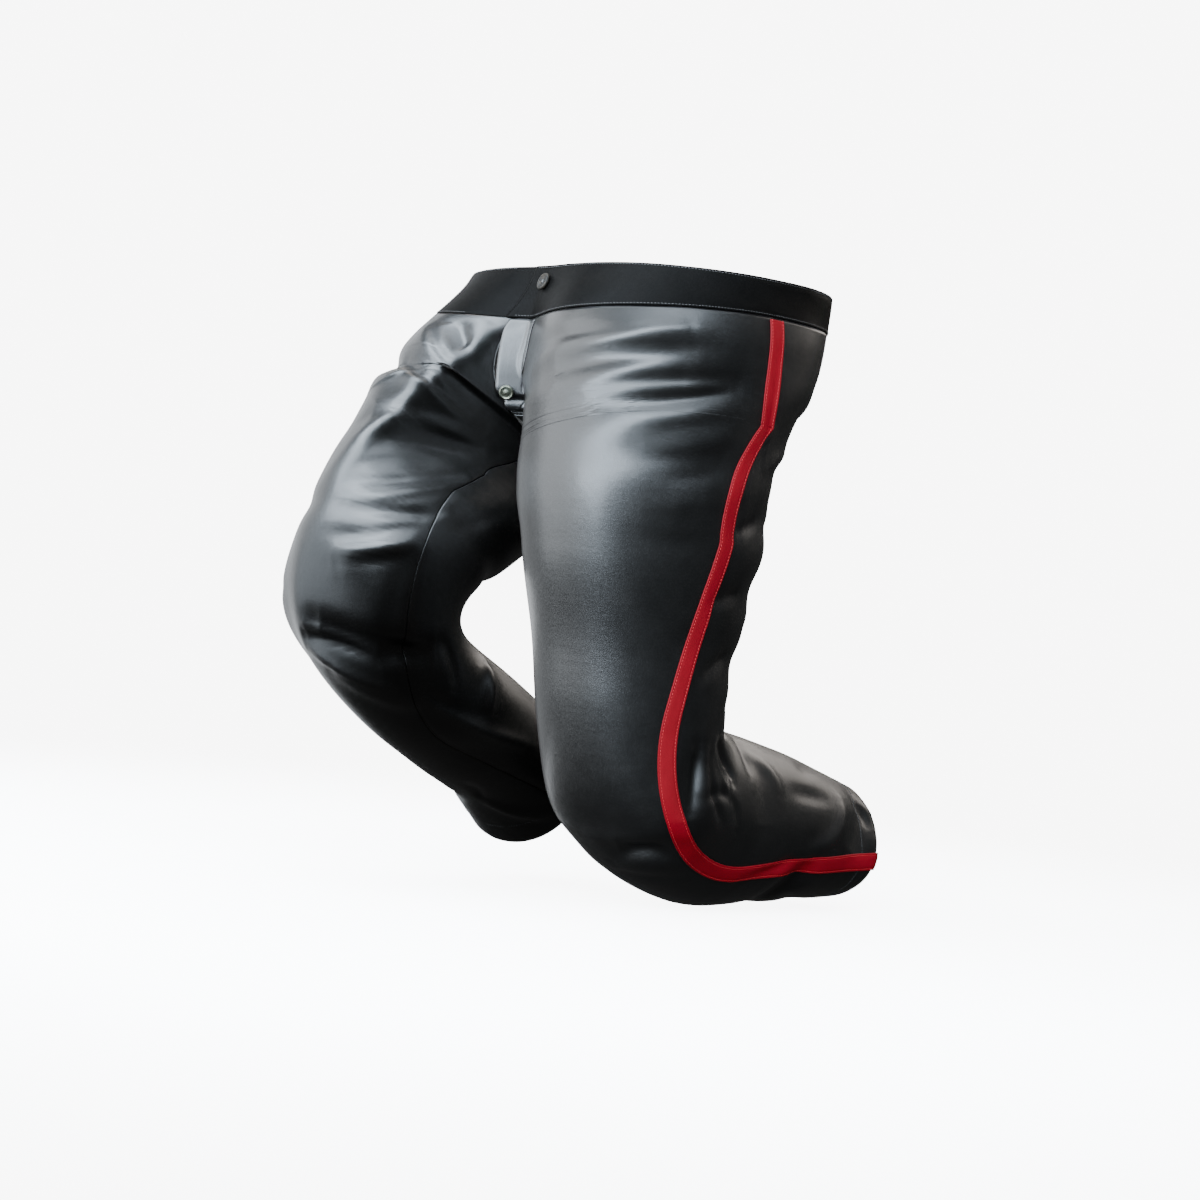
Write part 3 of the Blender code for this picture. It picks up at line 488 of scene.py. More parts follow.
@dataclass
class Rings:
    """The rings of points across one leg, waist to hem."""

    figure: Figure
    leg: Leg
    rows: dict[Zone, int]
    columns: int = 180
    bend_radius: float = 0.095
    bend_below_hip: float = 0.03
    crowding: float = 1.35
    ray_reach: float = 0.36
    ray_steps: int = 72
    refinements: int = 4
    least_step: float = 0.02
    batches: int = 6

    def shares(self, zone: Zone) -> np.ndarray:
        """Even shares of a zone, one for each of its rings."""
        return np.linspace(0, 1, self.rows[zone] + 1)[1:]

    def pelvis_stations(self) -> list[Station]:
        """Level rings at the waist that tilt until the last one touches the crotch."""
        figure, leg = self.figure, self.leg
        out, crotch = leg.side * figure.left, figure.crotch_point(leg)
        found = []
        for share in (0.0, *self.shares(Zone.PELVIS)):
            front, down = figure.crotch_frame(leg, ease(share))
            tilt = np.radians(leg.shape.row_tilt * ease(share))
            row_out = np.cos(tilt) * out - np.sin(tilt) * down
            row_down = np.cos(tilt) * down + np.sin(tilt) * out
            forward = share * (crotch @ figure.front) * figure.front
            below = (1 - (1 - share) ** self.crowding) * (crotch @ figure.down) * figure.down
            centre = forward + below + figure.hip_half * row_out
            rows = np.array((row_out, front, row_down))
            found.append(Station(Zone.PELVIS, share, centre, rows, 0.0))
        return found

    def hip_stations(self, last: Station) -> list[Station]:
        """Rings that fan from the crotch ring to the first ring square to the thigh.

        They all pass through one line, outside the cloth, in the crook of the hip.
        """
        leg = self.leg
        along = leg.thigh.frame[2]
        end = leg.hip + leg.shape.fan_reach * along
        start_normal = last.frame[2]
        line = np.cross(start_normal, along)
        angle = np.degrees(np.arctan2(np.linalg.norm(line), start_normal @ along))
        line = unit(line)
        planes = np.array((start_normal, along, line))
        hinge = np.linalg.solve(planes, (start_normal @ last.centre, along @ end, line @ leg.hip))
        bend = leg.hip + self.bend_below_hip * along
        found = []
        for share in self.shares(Zone.HIP):
            normal = rotation(line, angle * share) @ start_normal
            front = (1 - share) * last.frame[1] + share * leg.thigh.frame[1]
            front = unit(front - (front @ normal) * normal)
            out = leg.side * np.cross(front, normal)
            out = out * np.sign(out @ last.frame[0])
            left = 1 - share
            centre = left**2 * last.centre + 2 * share * left * bend + share**2 * end
            centre = centre - ((centre - hinge) @ normal) * normal
            found.append(Station(Zone.HIP, share, centre, np.array((out, front, normal)), share))
        return found

    def stations(self) -> list[Station]:
        """All the rings of the leg."""
        leg, shape, frame = self.leg, self.leg.shape, self.leg.thigh.frame
        found = self.pelvis_stations()
        found += self.hip_stations(found[-1])
        straight = self.bend_radius * np.tan(np.radians(shape.knee / 2))
        for share in self.shares(Zone.THIGH):
            place = shape.fan_reach + (shape.thigh - straight - shape.fan_reach) * share
            found.append(Station(Zone.THIGH, share, leg.hip + place * frame[2], frame, 1.0))
        hinge = leg.knee - straight * frame[2] - self.bend_radius * frame[1]
        axis = np.cross(frame[2], -frame[1])
        for share in self.shares(Zone.KNEE):
            turned = frame @ rotation(axis, shape.knee * share).T
            centre = hinge + self.bend_radius * turned[1]
            found.append(Station(Zone.KNEE, share, centre, turned, 1.0))
        for share in self.shares(Zone.SHIN):
            centre = leg.knee + (straight + (shape.shin - straight) * share) * leg.shin.frame[2]
            found.append(Station(Zone.SHIN, share, centre, leg.shin.frame, 1.0))
        return found

    def find_surface(
        self, depth: Callable[[np.ndarray], np.ndarray], centres: np.ndarray, rays: np.ndarray
    ) -> np.ndarray:
        """Where rays leave a form.

        Args:
            depth: A function from points to their distance outside the form.
            centres: Grid of start points.
            rays: Grid of directions.

        Returns:
            Grid of points on the form.
        """
        reach = np.linspace(0, self.ray_reach, self.ray_steps)[:, None]
        values = depth(centres[:, :, None] + rays[:, :, None] * reach)
        outside = values > 0
        outside[..., -1] = True
        first = np.maximum(np.argmax(outside, axis=-1), 1)[..., None]
        inner, outer = (np.take_along_axis(values, i, -1) for i in (first - 1, first))
        low, high = reach[first - 1, 0], reach[first, 0]
        for _ in range(self.refinements):
            share = inner / (inner - outer - TINY)
            share = np.clip(share, self.least_step, 1 - self.least_step)
            middle = low + share * (high - low)
            found = depth(centres[:, :, None] + rays[:, :, None] * middle[..., None])
            inside = found < 0
            low, high = np.where(inside, middle, low), np.where(inside, high, middle)
            inner, outer = np.where(inside, found, inner), np.where(inside, outer, found)
        share = np.clip(inner / (inner - outer - TINY), 0, 1)
        return centres + rays * (low + share * (high - low))

    def points(self) -> np.ndarray:
        """Rings of points. Angle 0 points at the other leg, 90 forward, 180 outward, 270 back."""
        stations = self.stations()
        centres = np.array([station.centre for station in stations])[:, None]
        frames = np.array([station.frame for station in stations])
        apart = np.array([station.apart for station in stations])[:, None, None]
        places = [station.zone.value + station.share for station in stations]
        seam_turn = np.interp(places, range(len(Zone) + 1), self.leg.shape.seam_turns)
        angles = np.linspace(0, 360, self.columns + 1)
        turn = np.radians(angles[None, :, None] - seam_turn[:, None, None])
        rays = -np.cos(turn) * frames[:, None, 0] + np.sin(turn) * frames[:, None, 1]
        parts = []
        for rows in np.array_split(np.arange(len(stations)), self.batches):
            def depth(points: np.ndarray, apart: np.ndarray = apart[rows]) -> np.ndarray:
                """The leg's cloth at these rings."""
                return self.figure.leg_depth(points, self.leg, apart)
            parts.append(self.find_surface(depth, centres[rows], rays[rows]))
        points = np.concatenate(parts)
        points[:, -1] = points[:, 0]
        return points


# ---------------------------------------------------------------- folds


@dataclass(frozen=True)
class Fold:
    """A fold laid through given places on the skin: rows counted in zones, and angles.

    A main fold has two places and is straight in rows and angles. A finer crease has three, its
    start, middle and end, and is a curve in space.
    """

    rows: tuple[float, ...]
    angles: tuple[float, ...]
    half_width: float
    height: float

    @property
    def fine(self) -> bool:
        """Whether this is a finer crease."""
        return len(self.rows) == 3

    def spine(self, skin: "Skin", points: np.ndarray, share: np.ndarray) -> np.ndarray:
        """Points of the fold's line at shares of its length."""
        if self.fine:
            ends = skin.on_skin(points, np.array(self.rows), np.array(self.angles))
            left = 1 - share
            weights = left * (1 - 2 * share), 4 * share * left, share * (2 * share - 1)
            return np.stack(weights, axis=1) @ ends
        rows, angles = (start + (end - start) * share for start, end in (self.rows, self.angles))
        return skin.on_skin(points, rows, angles)


def folds(*table: tuple[float, ...]) -> tuple[Fold, ...]:
    """Folds from lines of (row, angle) pairs, then the half width and height in millimetres."""
    return tuple(Fold(f[:-2:2], f[1:-2:2], f[-2] / 1000, f[-1] / 1000) for f in table)


FOLDS = {
    Side.LEFT: folds(
        # drag folds from the fly across the front
        (0.32, 80, 0.12, 140, 14, 5), (0.45, 95, 0.32, 150, 14, -5), (0.62, 70, 0.50, 140, 16, 4),
        (0.82, 110, 0.55, 170, 17, -6), (1.30, 115, 1.35, 180, 20, -4),
        # bulges and dents down the back of the thigh
        (1.35, 200, 1.25, 290, 20, -6), (1.80, 190, 1.65, 270, 22, -7),
        (2.28, 190, 2.20, 285, 22, -6), (2.62, 200, 2.72, 300, 20, -5),
        (2.05, 300, 2.20, 350, 22, -5),
        # creases round the knee
        (3.10, 222, 3.70, 240, 16, -6), (3.15, 202, 3.50, 186, 14, -6),
        (4.12, 285, 4.16, 215, 16, -3), (3.55, 135, 3.62, 175, 14, -6),
        (3.25, 340, 3.75, 338, 18, -4), (3.50, 20, 3.62, 80, 18, -4),
        # the hem sags and pinches
        (4.45, 134, 4.55, 187, 16, -8), (4.82, 187, 4.95, 230, 18, -6),
        (4.40, 317, 4.85, 351, 20, -5),
        # seat
        (0.70, 215, 0.80, 290, 20, -6),
        # fine drag lines from the fly across the front, dark and light in turn
        (0.10, 66, 0.07, 100, 0.05, 128, 6, 0.8), (0.18, 75, 0.17, 105, 0.12, 122, 6, -1.1),
        (0.26, 90, 0.21, 118, 0.12, 138, 7, 0.9), (0.40, 98, 0.39, 118, 0.30, 140, 7, -1.1),
        (0.48, 108, 0.38, 128, 0.31, 152, 7, 0.7), (0.45, 98, 0.38, 125, 0.32, 150, 14, 3),
        (0.61, 112, 0.56, 130, 0.52, 160, 7, -2.2), (0.73, 115, 0.65, 140, 0.61, 158, 6, 1.4),
        (0.85, 125, 0.79, 142, 0.62, 160, 7, -2.4), (1.15, 128, 1.08, 148, 1.00, 162, 8, -1.5),
        (1.29, 132, 1.25, 152, 1.15, 165, 7, 1.1), (1.54, 140, 1.48, 158, 1.40, 168, 9, -1.5),
        (1.75, 138, 1.72, 155, 1.66, 170, 8, 0.8), (2.00, 135, 2.02, 155, 1.98, 172, 10, -0.9),
        # over the kneecap
        (3.64, 125, 3.59, 150, 3.68, 170, 8, -3.8), (3.48, 85, 3.50, 125, 3.50, 165, 10, 2.2),
        (3.76, 105, 3.73, 130, 3.80, 160, 8, -2.2), (3.30, -10, 3.38, 12, 3.42, 40, 8, -3),
        (3.62, -15, 3.66, 10, 3.66, 50, 8, -2.6), (3.46, 300, 3.52, 330, 3.50, 355, 7, -4),
        # bunched behind the knee
        (3.12, 228, 3.50, 245, 3.76, 240, 6, -5.2), (3.11, 202, 3.29, 200, 3.47, 190, 6, -4.5),
        (4.10, 282, 4.08, 268, 4.06, 252, 6, -3.2), (3.14, 215, 3.47, 212, 3.73, 208, 6, -4),
        (3.44, 200, 3.71, 226, 3.92, 212, 6, -3.2), (3.20, 222, 3.50, 228, 3.80, 224, 6, 3.2),
        (3.20, 262, 3.45, 275, 3.60, 290, 6, -4.2), (3.30, 285, 3.50, 300, 3.70, 318, 7, -3),
        # calf and hem
        (4.08, 272, 4.23, 255, 4.27, 235, 8, 2.4), (4.35, 240, 4.50, 236, 4.67, 232, 10, -2.4),
        (4.50, 255, 4.60, 262, 4.75, 262, 9, -1.8), (4.46, 190, 4.35, 183, 4.15, 175, 7, -3.2),
        (4.75, 232, 4.67, 205, 4.46, 190, 8, 3.4), (4.86, 240, 4.92, 225, 4.97, 205, 7, -3.4),
        (4.55, 150, 4.68, 130, 4.82, 110, 9, -3), (4.30, 80, 4.42, 95, 4.50, 120, 9, -2.4),
        # back of the thigh
        (1.12, 225, 1.20, 212, 1.31, 200, 9, 3.4), (1.77, 205, 1.85, 195, 1.92, 186, 7, -3.4),
        (2.26, 205, 2.28, 195, 2.32, 184, 7, -3.2), (2.59, 214, 2.64, 205, 2.72, 194, 7, -3.2),
        (1.50, 290, 1.45, 260, 1.52, 225, 9, -3.4), (1.65, 280, 1.70, 250, 1.70, 220, 8, 2.6),
        (1.95, 300, 2.00, 270, 2.10, 235, 9, -3), (2.45, 300, 2.50, 265, 2.45, 230, 9, -3.4),
        (2.75, 290, 2.80, 260, 2.90, 232, 8, -3),
        # inside of the thigh
        (1.30, 20, 1.40, 42, 1.45, 65, 8, -1.5), (1.90, -10, 2.00, 12, 2.10, 40, 10, -1.6),
        (2.60, -15, 2.65, 10, 2.70, 35, 10, -1.8),
        # seat
        (0.75, 290, 0.85, 262, 0.90, 228, 10, -3.4), (0.98, 280, 1.02, 250, 1.00, 222, 8, -3),
        (0.45, 280, 0.40, 255, 0.42, 230, 12, -1.6),
    ),
    Side.RIGHT: folds(
        # creases that fan from the crotch over the groin
        (0.10, 70, 0.98, 45, 14, -8), (0.20, 84, 0.90, 60, 13, 3), (0.80, 105, 1.36, 40, 15, -8),
        (1.30, 110, 1.55, 25, 16, 5), (0.60, 135, 0.90, 100, 18, -5),
        # drag folds across the thigh
        (2.60, 85, 1.60, 20, 14, -5), (3.10, 75, 2.20, 5, 13, 4), (3.22, 62, 3.06, 345, 13, -5),
        (3.38, 48, 3.28, 0, 13, 4), (2.50, 120, 2.80, 185, 20, -5), (1.70, 175, 1.95, 250, 22, -6),
        # the deep crease inside the knee and the ridge below it
        (3.54, 60, 3.66, -25, 13, -10), (3.66, 55, 3.84, -8, 14, 5), (3.84, -8, 4.50, -32, 15, 4),
        (3.62, 130, 3.50, 190, 15, -7), (3.40, 205, 3.55, 262, 16, -8),
        (4.05, -80, 4.15, -40, 14, 4), (4.40, 180, 4.60, 110, 18, -5),
        # seat
        (0.62, 215, 0.78, 280, 20, -6), (1.15, 205, 1.05, 290, 22, -6),
        # the fan over the groin
        (0.05, 70, 0.43, 58, 0.81, 46, 6, -3), (0.31, 76, 0.76, 62, 1.04, 46, 6, -3.2),
        (0.89, 68, 1.17, 55, 1.21, 38, 5, -1.8), (0.95, 76, 1.52, 65, 1.40, 35, 6, -4.6),
        (1.50, 80, 1.69, 62, 1.46, 30, 6, 2.5), (2.17, 70, 1.81, 58, 1.50, 28, 6, -2.5),
        (2.74, 70, 2.13, 65, 1.58, 22, 6, 2.3), (2.98, 65, 2.28, 60, 1.73, 22, 6, -2.4),
        (0.03, 58, 0.05, 54, 0.12, 49, 5, -2.5),
        # bands across the thigh
        (3.03, 70, 2.63, 60, 2.07, 42, 6, -1.9), (3.09, 65, 2.87, 50, 1.98, 22, 6, 1.8),
        (3.15, 60, 3.06, 32, 2.06, 10, 6, -3.2), (3.20, 58, 3.12, 25, 2.11, -2, 5, 2.4),
        (3.23, 55, 3.20, 22, 3.08, -8, 6, -3.3), (3.30, 60, 3.29, 30, 3.21, 8, 7, -2.4),
        (3.35, 50, 3.33, 25, 3.29, 8, 5, 2.5), (3.38, 52, 3.36, 25, 3.33, 8, 6, -2.4),
        (3.15, -15, 3.03, -28, 2.37, -30, 6, -2.3), (1.40, 78, 1.80, 88, 2.30, 92, 30, -6),
        # inside the bent knee
        (3.55, 70, 3.58, 45, 3.61, 20, 6, 3.2), (3.58, 72, 3.60, 44, 3.65, 20, 6, -7.5),
        (3.62, 74, 3.68, 35, 3.77, 0, 6, 4.2), (3.65, 18, 3.64, 0, 3.64, -25, 8, -6),
        (3.71, 18, 3.82, -8, 4.02, -25, 8, -3.2), (3.76, 0, 3.97, -22, 4.54, -30, 6, 3.4),
        (4.04, -82, 4.08, -58, 4.15, -40, 6, 3.4), (3.62, -28, 3.74, -40, 3.88, -35, 6, -3),
        # outside and back of the knee
        (3.35, 235, 3.50, 255, 3.60, 280, 7, -6), (3.25, 215, 3.45, 228, 3.60, 240, 6, -4.2),
        (3.50, 190, 3.62, 205, 3.75, 215, 7, -3.2), (3.45, 100, 3.50, 130, 3.45, 160, 7, -3),
        (3.70, 95, 3.68, 125, 3.60, 155, 7, -3.4),
        # outside of the hip and thigh
        (0.70, 110, 0.90, 95, 1.20, 85, 8, -4.2), (0.50, 130, 0.75, 115, 1.00, 100, 8, -3.2),
        (1.20, 130, 1.35, 160, 1.30, 195, 9, -4), (1.75, 150, 1.90, 180, 1.95, 215, 9, -3.2),
        (2.40, 140, 2.55, 165, 2.70, 195, 8, -3),
        # seat
        (0.70, 290, 0.85, 262, 0.85, 230, 10, -3.4), (1.30, 300, 1.20, 265, 1.25, 225, 10, -4.2),
        # calf and hem
        (4.20, 120, 4.35, 140, 4.50, 165, 9, -2.6), (4.60, 60, 4.70, 90, 4.75, 120, 9, -2.2),
        (4.30, 200, 4.45, 225, 4.50, 250, 8, -3), (4.75, 250, 4.85, 280, 4.90, 310, 8, -3),
        (4.65, 50, 4.79, 35, 4.92, 12, 7, 3.2), (4.48, 35, 4.57, 42, 4.65, 50, 6, -3.2),
    ),
}


# ---------------------------------------------------------------- the skin of one leg


@dataclass
class Skin:
    """The outside of one leg's leather, as fine rings of points with the folds pressed in."""

    figure: Figure
    side: Side
    band: "BandShape"
    coarse: dict[Zone, int] = field(default_factory=lambda: dict(zip(Zone, (28, 12, 14, 18, 12))))
    fine: dict[Zone, int] = field(default_factory=lambda: dict(zip(Zone, (70, 44, 46, 72, 50))))
    columns: int = 400
    fold_free_place: float = 0.15
    fold_free_parting: float = 0.015
    fold_rows_over: float = 0.7
    fold_reach: float = 3.2
    crease_reach: float = 0.006
    end_height: float = 0.03
    spine_count: int = 17
    knee_passes: int = 10
    knee_fade: int = 5

    def __post_init__(self) -> None:
        """Lay the rings, refine them and press the folds in."""
        self.leg = self.figure.legs[self.side]
        smooth = Rings(self.figure, self.leg, self.coarse).points()
        smooth = self.start_at_band(self.round_knee(smooth))
        base, self.places = self.refined(smooth)
        normals = self.normals_of(base)
        self.lift = self.pressed(base, normals)
        self.points = base + self.lift[..., None] * normals
        self.normals = self.normals_of(self.points)

    def normals_of(self, points: np.ndarray) -> np.ndarray:
        """Outward normals of a grid of rings whose first and last columns meet."""
        around = np.empty_like(points)
        around[:, 1:-1] = points[:, 2:] - points[:, :-2]
        around[:, 0] = around[:, -1] = points[:, 1] - points[:, -2]
        return unit(self.leg.side * np.cross(np.gradient(points, axis=0), around))

    def round_knee(self, points: np.ndarray) -> np.ndarray:
        """Ease the sharp bend of the knee: each pass blends a ring with its neighbours."""
        first = sum(self.coarse[zone] for zone in (Zone.PELVIS, Zone.HIP, Zone.THIGH))
        rows = np.arange(first - 2, first + self.coarse[Zone.KNEE] + 3)
        from_end = np.minimum(rows - rows[0], rows[-1] - rows)
        weight = ease(from_end / self.knee_fade)[:, None, None]
        points = points.copy()
        for _ in range(self.knee_passes):
            blended = (points[rows - 1] + 2 * points[rows] + points[rows + 1]) / 4
            points[rows] = blend(points[rows], blended, weight)
        return points

    def start_at_band(self, points: np.ndarray) -> np.ndarray:
        """Replace the waist's level rings by rings that start along the band's lower edge."""
        rows = self.coarse[Zone.PELVIS]
        depth = points[: rows + 1] @ self.figure.down
        edge = self.band.edge(self.figure, points[: rows + 1]) + self.band.seam_gap
        begun = np.argmax(depth > edge, axis=0)
        column = np.arange(points.shape[1])
        low, high = depth[begun - 1, column], depth[begun, column]
        first = begun - 1 + (edge[begun, column] - low) / (high - low)
        place = first + (rows - first) * np.linspace(0, 1, rows + 1)[:, None]
        below = np.clip(place.astype(int), 0, rows - 1)
        share = (place - below)[..., None]
        resampled = blend(points[below, column], points[below + 1, column], share)
        return np.concatenate((resampled, points[rows + 1:]))

    def refined(self, points: np.ndarray) -> tuple[np.ndarray, np.ndarray]:
        """A finer grid along smooth curves, and each of its rows' places in zones."""
        starts = np.concatenate(((0,), np.cumsum([self.coarse[zone] for zone in Zone])))
        steps = [zone.value + np.linspace(0, 1, self.fine[zone] + 1)[1:] for zone in Zone]
        places = np.concatenate(((0.0,), *steps))
        points = cubic(points, np.interp(places, np.arange(len(Zone) + 1), starts))
        columns = points.shape[1] - 1
        wrapped = np.concatenate((points[:, -3:-1], points, points[:, 1:3]), axis=1)
        return refined_columns(wrapped, 2 + np.linspace(0, columns, self.columns + 1)), places

    def on_skin(self, points: np.ndarray, row: np.ndarray, angle: np.ndarray) -> np.ndarray:
        """Points of the grid at places in zones and angles in degrees."""
        rows = np.interp(row, self.places, np.arange(len(self.places)))
        columns = (angle % 360) / 360 * self.columns
        i = np.clip(rows.astype(int), 0, points.shape[0] - 2)
        j = np.clip(columns.astype(int), 0, points.shape[1] - 2)
        u, v = (rows - i)[:, None], (columns - j)[:, None]
        top, bottom = (blend(points[k, j], points[k, j + 1], v) for k in (i, i + 1))
        return blend(top, bottom, u)

    def fold_lift(self, points: np.ndarray, normals: np.ndarray, fold: Fold) -> np.ndarray:
        """How far one fold lifts each point of the grid: it dies out at its ends."""
        spine = fold.spine(self, points, np.linspace(0, 1, self.spine_count))
        reach = self.fold_reach * fold.half_width + self.crease_reach * fold.fine
        rows = self.places > min(fold.rows) - self.fold_rows_over
        rows &= self.places < max(fold.rows) + self.fold_rows_over
        near = rows[:, None] & np.all(points > spine.min(axis=0) - reach, axis=-1)
        near &= np.all(points < spine.max(axis=0) + reach, axis=-1)
        spots, outward = points[near], normals[near]
        nearest = np.full(len(spots), np.inf)
        along = np.zeros(len(spots))
        for k, step in enumerate(np.diff(spine, axis=0)):
            part = np.clip(((spots - spine[k]) @ step) / (step @ step), 0, 1)
            offset = spots - spine[k] - part[:, None] * step
            if fold.fine:
                offset -= np.einsum("ij,ij->i", offset, outward)[:, None] * outward
            distance = np.linalg.norm(offset, axis=1)
            closer = distance < nearest
            nearest = np.where(closer, distance, nearest)
            along = np.where(closer, (k + part) / (len(spine) - 1), along)
        along = np.clip(along, self.end_height, 1 - self.end_height)
        faded = np.sqrt(np.sin(np.pi * along))
        lift = np.zeros(points.shape[:2])
        lift[near] = fold.height * bell(nearest, fold.half_width) * faded
        return lift

    def pressed(self, points: np.ndarray, normals: np.ndarray) -> np.ndarray:
        """The lift of all the folds, fading out at the band and against the other leg."""
        lift = np.zeros(points.shape[:2])
        for fold in FOLDS[self.side]:
            lift += self.fold_lift(points, normals, fold)
        from_other_leg = self.leg.side * self.figure.parting(points) - self.figure.parting_gap / 2
        lift *= ease(self.places / self.fold_free_place)[:, None]
        return lift * ease(from_other_leg / self.fold_free_parting)


# ---------------------------------------------------------------- pieces as walls of leather


@dataclass
class Sheet:
    """A grid of points on the outside of a piece, with what its surface needs.

    Across and along are its flat layout in metres. The ridge is how far the folds lift it.
    """

    name: str
    points: np.ndarray
    inner: np.ndarray
    normals: np.ndarray
    across: np.ndarray
    along: np.ndarray
    flip: bool
    ridge: np.ndarray | float = 0.0

    def area(self) -> float:
        """Area of the outside, in square metres."""
        p = self.points
        one = np.cross(p[1:, :-1] - p[:-1, :-1], p[:-1, 1:] - p[:-1, :-1])
        two = np.cross(p[1:, :-1] - p[1:, 1:], p[:-1, 1:] - p[1:, 1:])
        return float((np.linalg.norm(one, axis=-1) + np.linalg.norm(two, axis=-1)).sum() / 2)

    def flat_size(self) -> tuple[float, float]:
        """Width and length of the rectangle that the piece is cut from."""
        width, length = (
            np.linalg.norm(np.diff(self.points, axis=axis), axis=-1).sum(axis=axis).max()
            for axis in (1, 0)
        )
        return float(width), float(length)

    def extend(self, axis: int, outer: list, inner: list, flat: list) -> None:
        """Put rows or columns before the grid's first one.

        Args:
            axis: 0 for rows, 1 for columns.
            outer: The outside points of each new row or column.
            inner: The inside points of each.
            flat: Their places in the flat layout.
        """
        new = {"points": outer, "inner": inner, ("along", "across")[axis]: flat}
        for name in ("points", "inner", "normals", "across", "along", "ridge"):
            values = getattr(self, name)
            first = np.take(values, [0] * len(outer), axis)
            added = np.stack(new[name], axis) if name in new else first
            setattr(self, name, np.concatenate((added, values), axis=axis))

    def build(self, outside: bpy.types.Material, inside: bpy.types.Material) -> bpy.types.Object:
        """Make the closed wall between the outer and inner grids.

        Args:
            outside: The finish of the face side.
            inside: The finish of the flesh side.

        Returns:
            The new object.
        """
        spots = np.arange(self.across.size).reshape(self.across.shape)
        count = spots.size
        quads = (spots[:-1, :-1], spots[1:, :-1], spots[1:, 1:], spots[:-1, 1:])
        quads = np.stack([corner.ravel() for corner in quads], axis=1)
        rim = (spots[0], spots[1:, -1], spots[-1, -2::-1], spots[-2:0:-1, 0])
        rim = np.concatenate(rim)
        after = np.roll(rim, -1)
        edge = np.stack((rim, after, after + count, rim + count), axis=1)
        if self.flip:
            quads, edge = quads[:, ::-1], edge[:, ::-1]
        faces = np.concatenate((quads, quads[:, ::-1] + count, edge))
        mesh = bpy.data.meshes.new(self.name)
        both = np.concatenate((self.points.reshape(-1, 3), self.inner.reshape(-1, 3)))
        mesh.from_pydata(both.tolist(), [], faces.tolist())
        mesh.materials.append(outside)
        mesh.materials.append(inside)
        slots = np.zeros(len(faces), np.int32)
        slots[len(quads):2 * len(quads)] = 1
        mesh.polygons.foreach_set("material_index", slots)
        self.paint(mesh)
        mesh.shade_smooth()
        return linked(self.name, mesh)

    def paint(self, mesh: bpy.types.Mesh) -> None:
        """Give the mesh its flat layout in metres and the height of its folds."""
        flat = np.stack((self.across.ravel(), self.along.ravel()), axis=1)
        corners = np.empty(len(mesh.loops), np.int32)
        mesh.loops.foreach_get("vertex_index", corners)
        layout = mesh.uv_layers.new(name="layout")
        layout.data.foreach_set("uv", np.tile(flat, (2, 1))[corners].astype(np.float32).ravel())
        ridge = np.tile((self.ridge + 0 * self.across).ravel(), 2).astype(np.float32)
        mesh.attributes.new("ridge", "FLOAT", "POINT").data.foreach_set("value", ridge)


@dataclass
class Edge:
    """How the leather rolls over at an edge."""

    radius: float = 0.0016
    drop: float = 0.0008
    groove: float = 0.0005
    groove_width: float = 0.0045

    def steps(self) -> np.ndarray:
        """Distances from the edge of the first few columns."""
        return np.array((0.0, 0.1, 0.3, 0.6, 1.0, 1.7, 2.8, 4.4)) * self.radius

    def sink(self, distance: np.ndarray) -> np.ndarray:
        """How far the outside sinks at a distance from the edge."""
        roll = self.drop * (1 - rounded(distance, self.radius))
        return roll + self.groove * bell(distance, self.groove_width)


@dataclass
class Pucker:
    """Small uneven waves that the stitching draws into the leather along a seam."""

    height: float = 0.00035
    reach: float = 0.010
    wave: float = 0.013
    seed: int = 7

    def lift(self, distance: np.ndarray, along: np.ndarray) -> np.ndarray:
        """Lift at a distance from the seam and a length along it."""
        waves = Rumple(self.seed, self.reach, self.wave).at(distance, along)
        return self.height * waves * np.exp(-distance / self.reach)


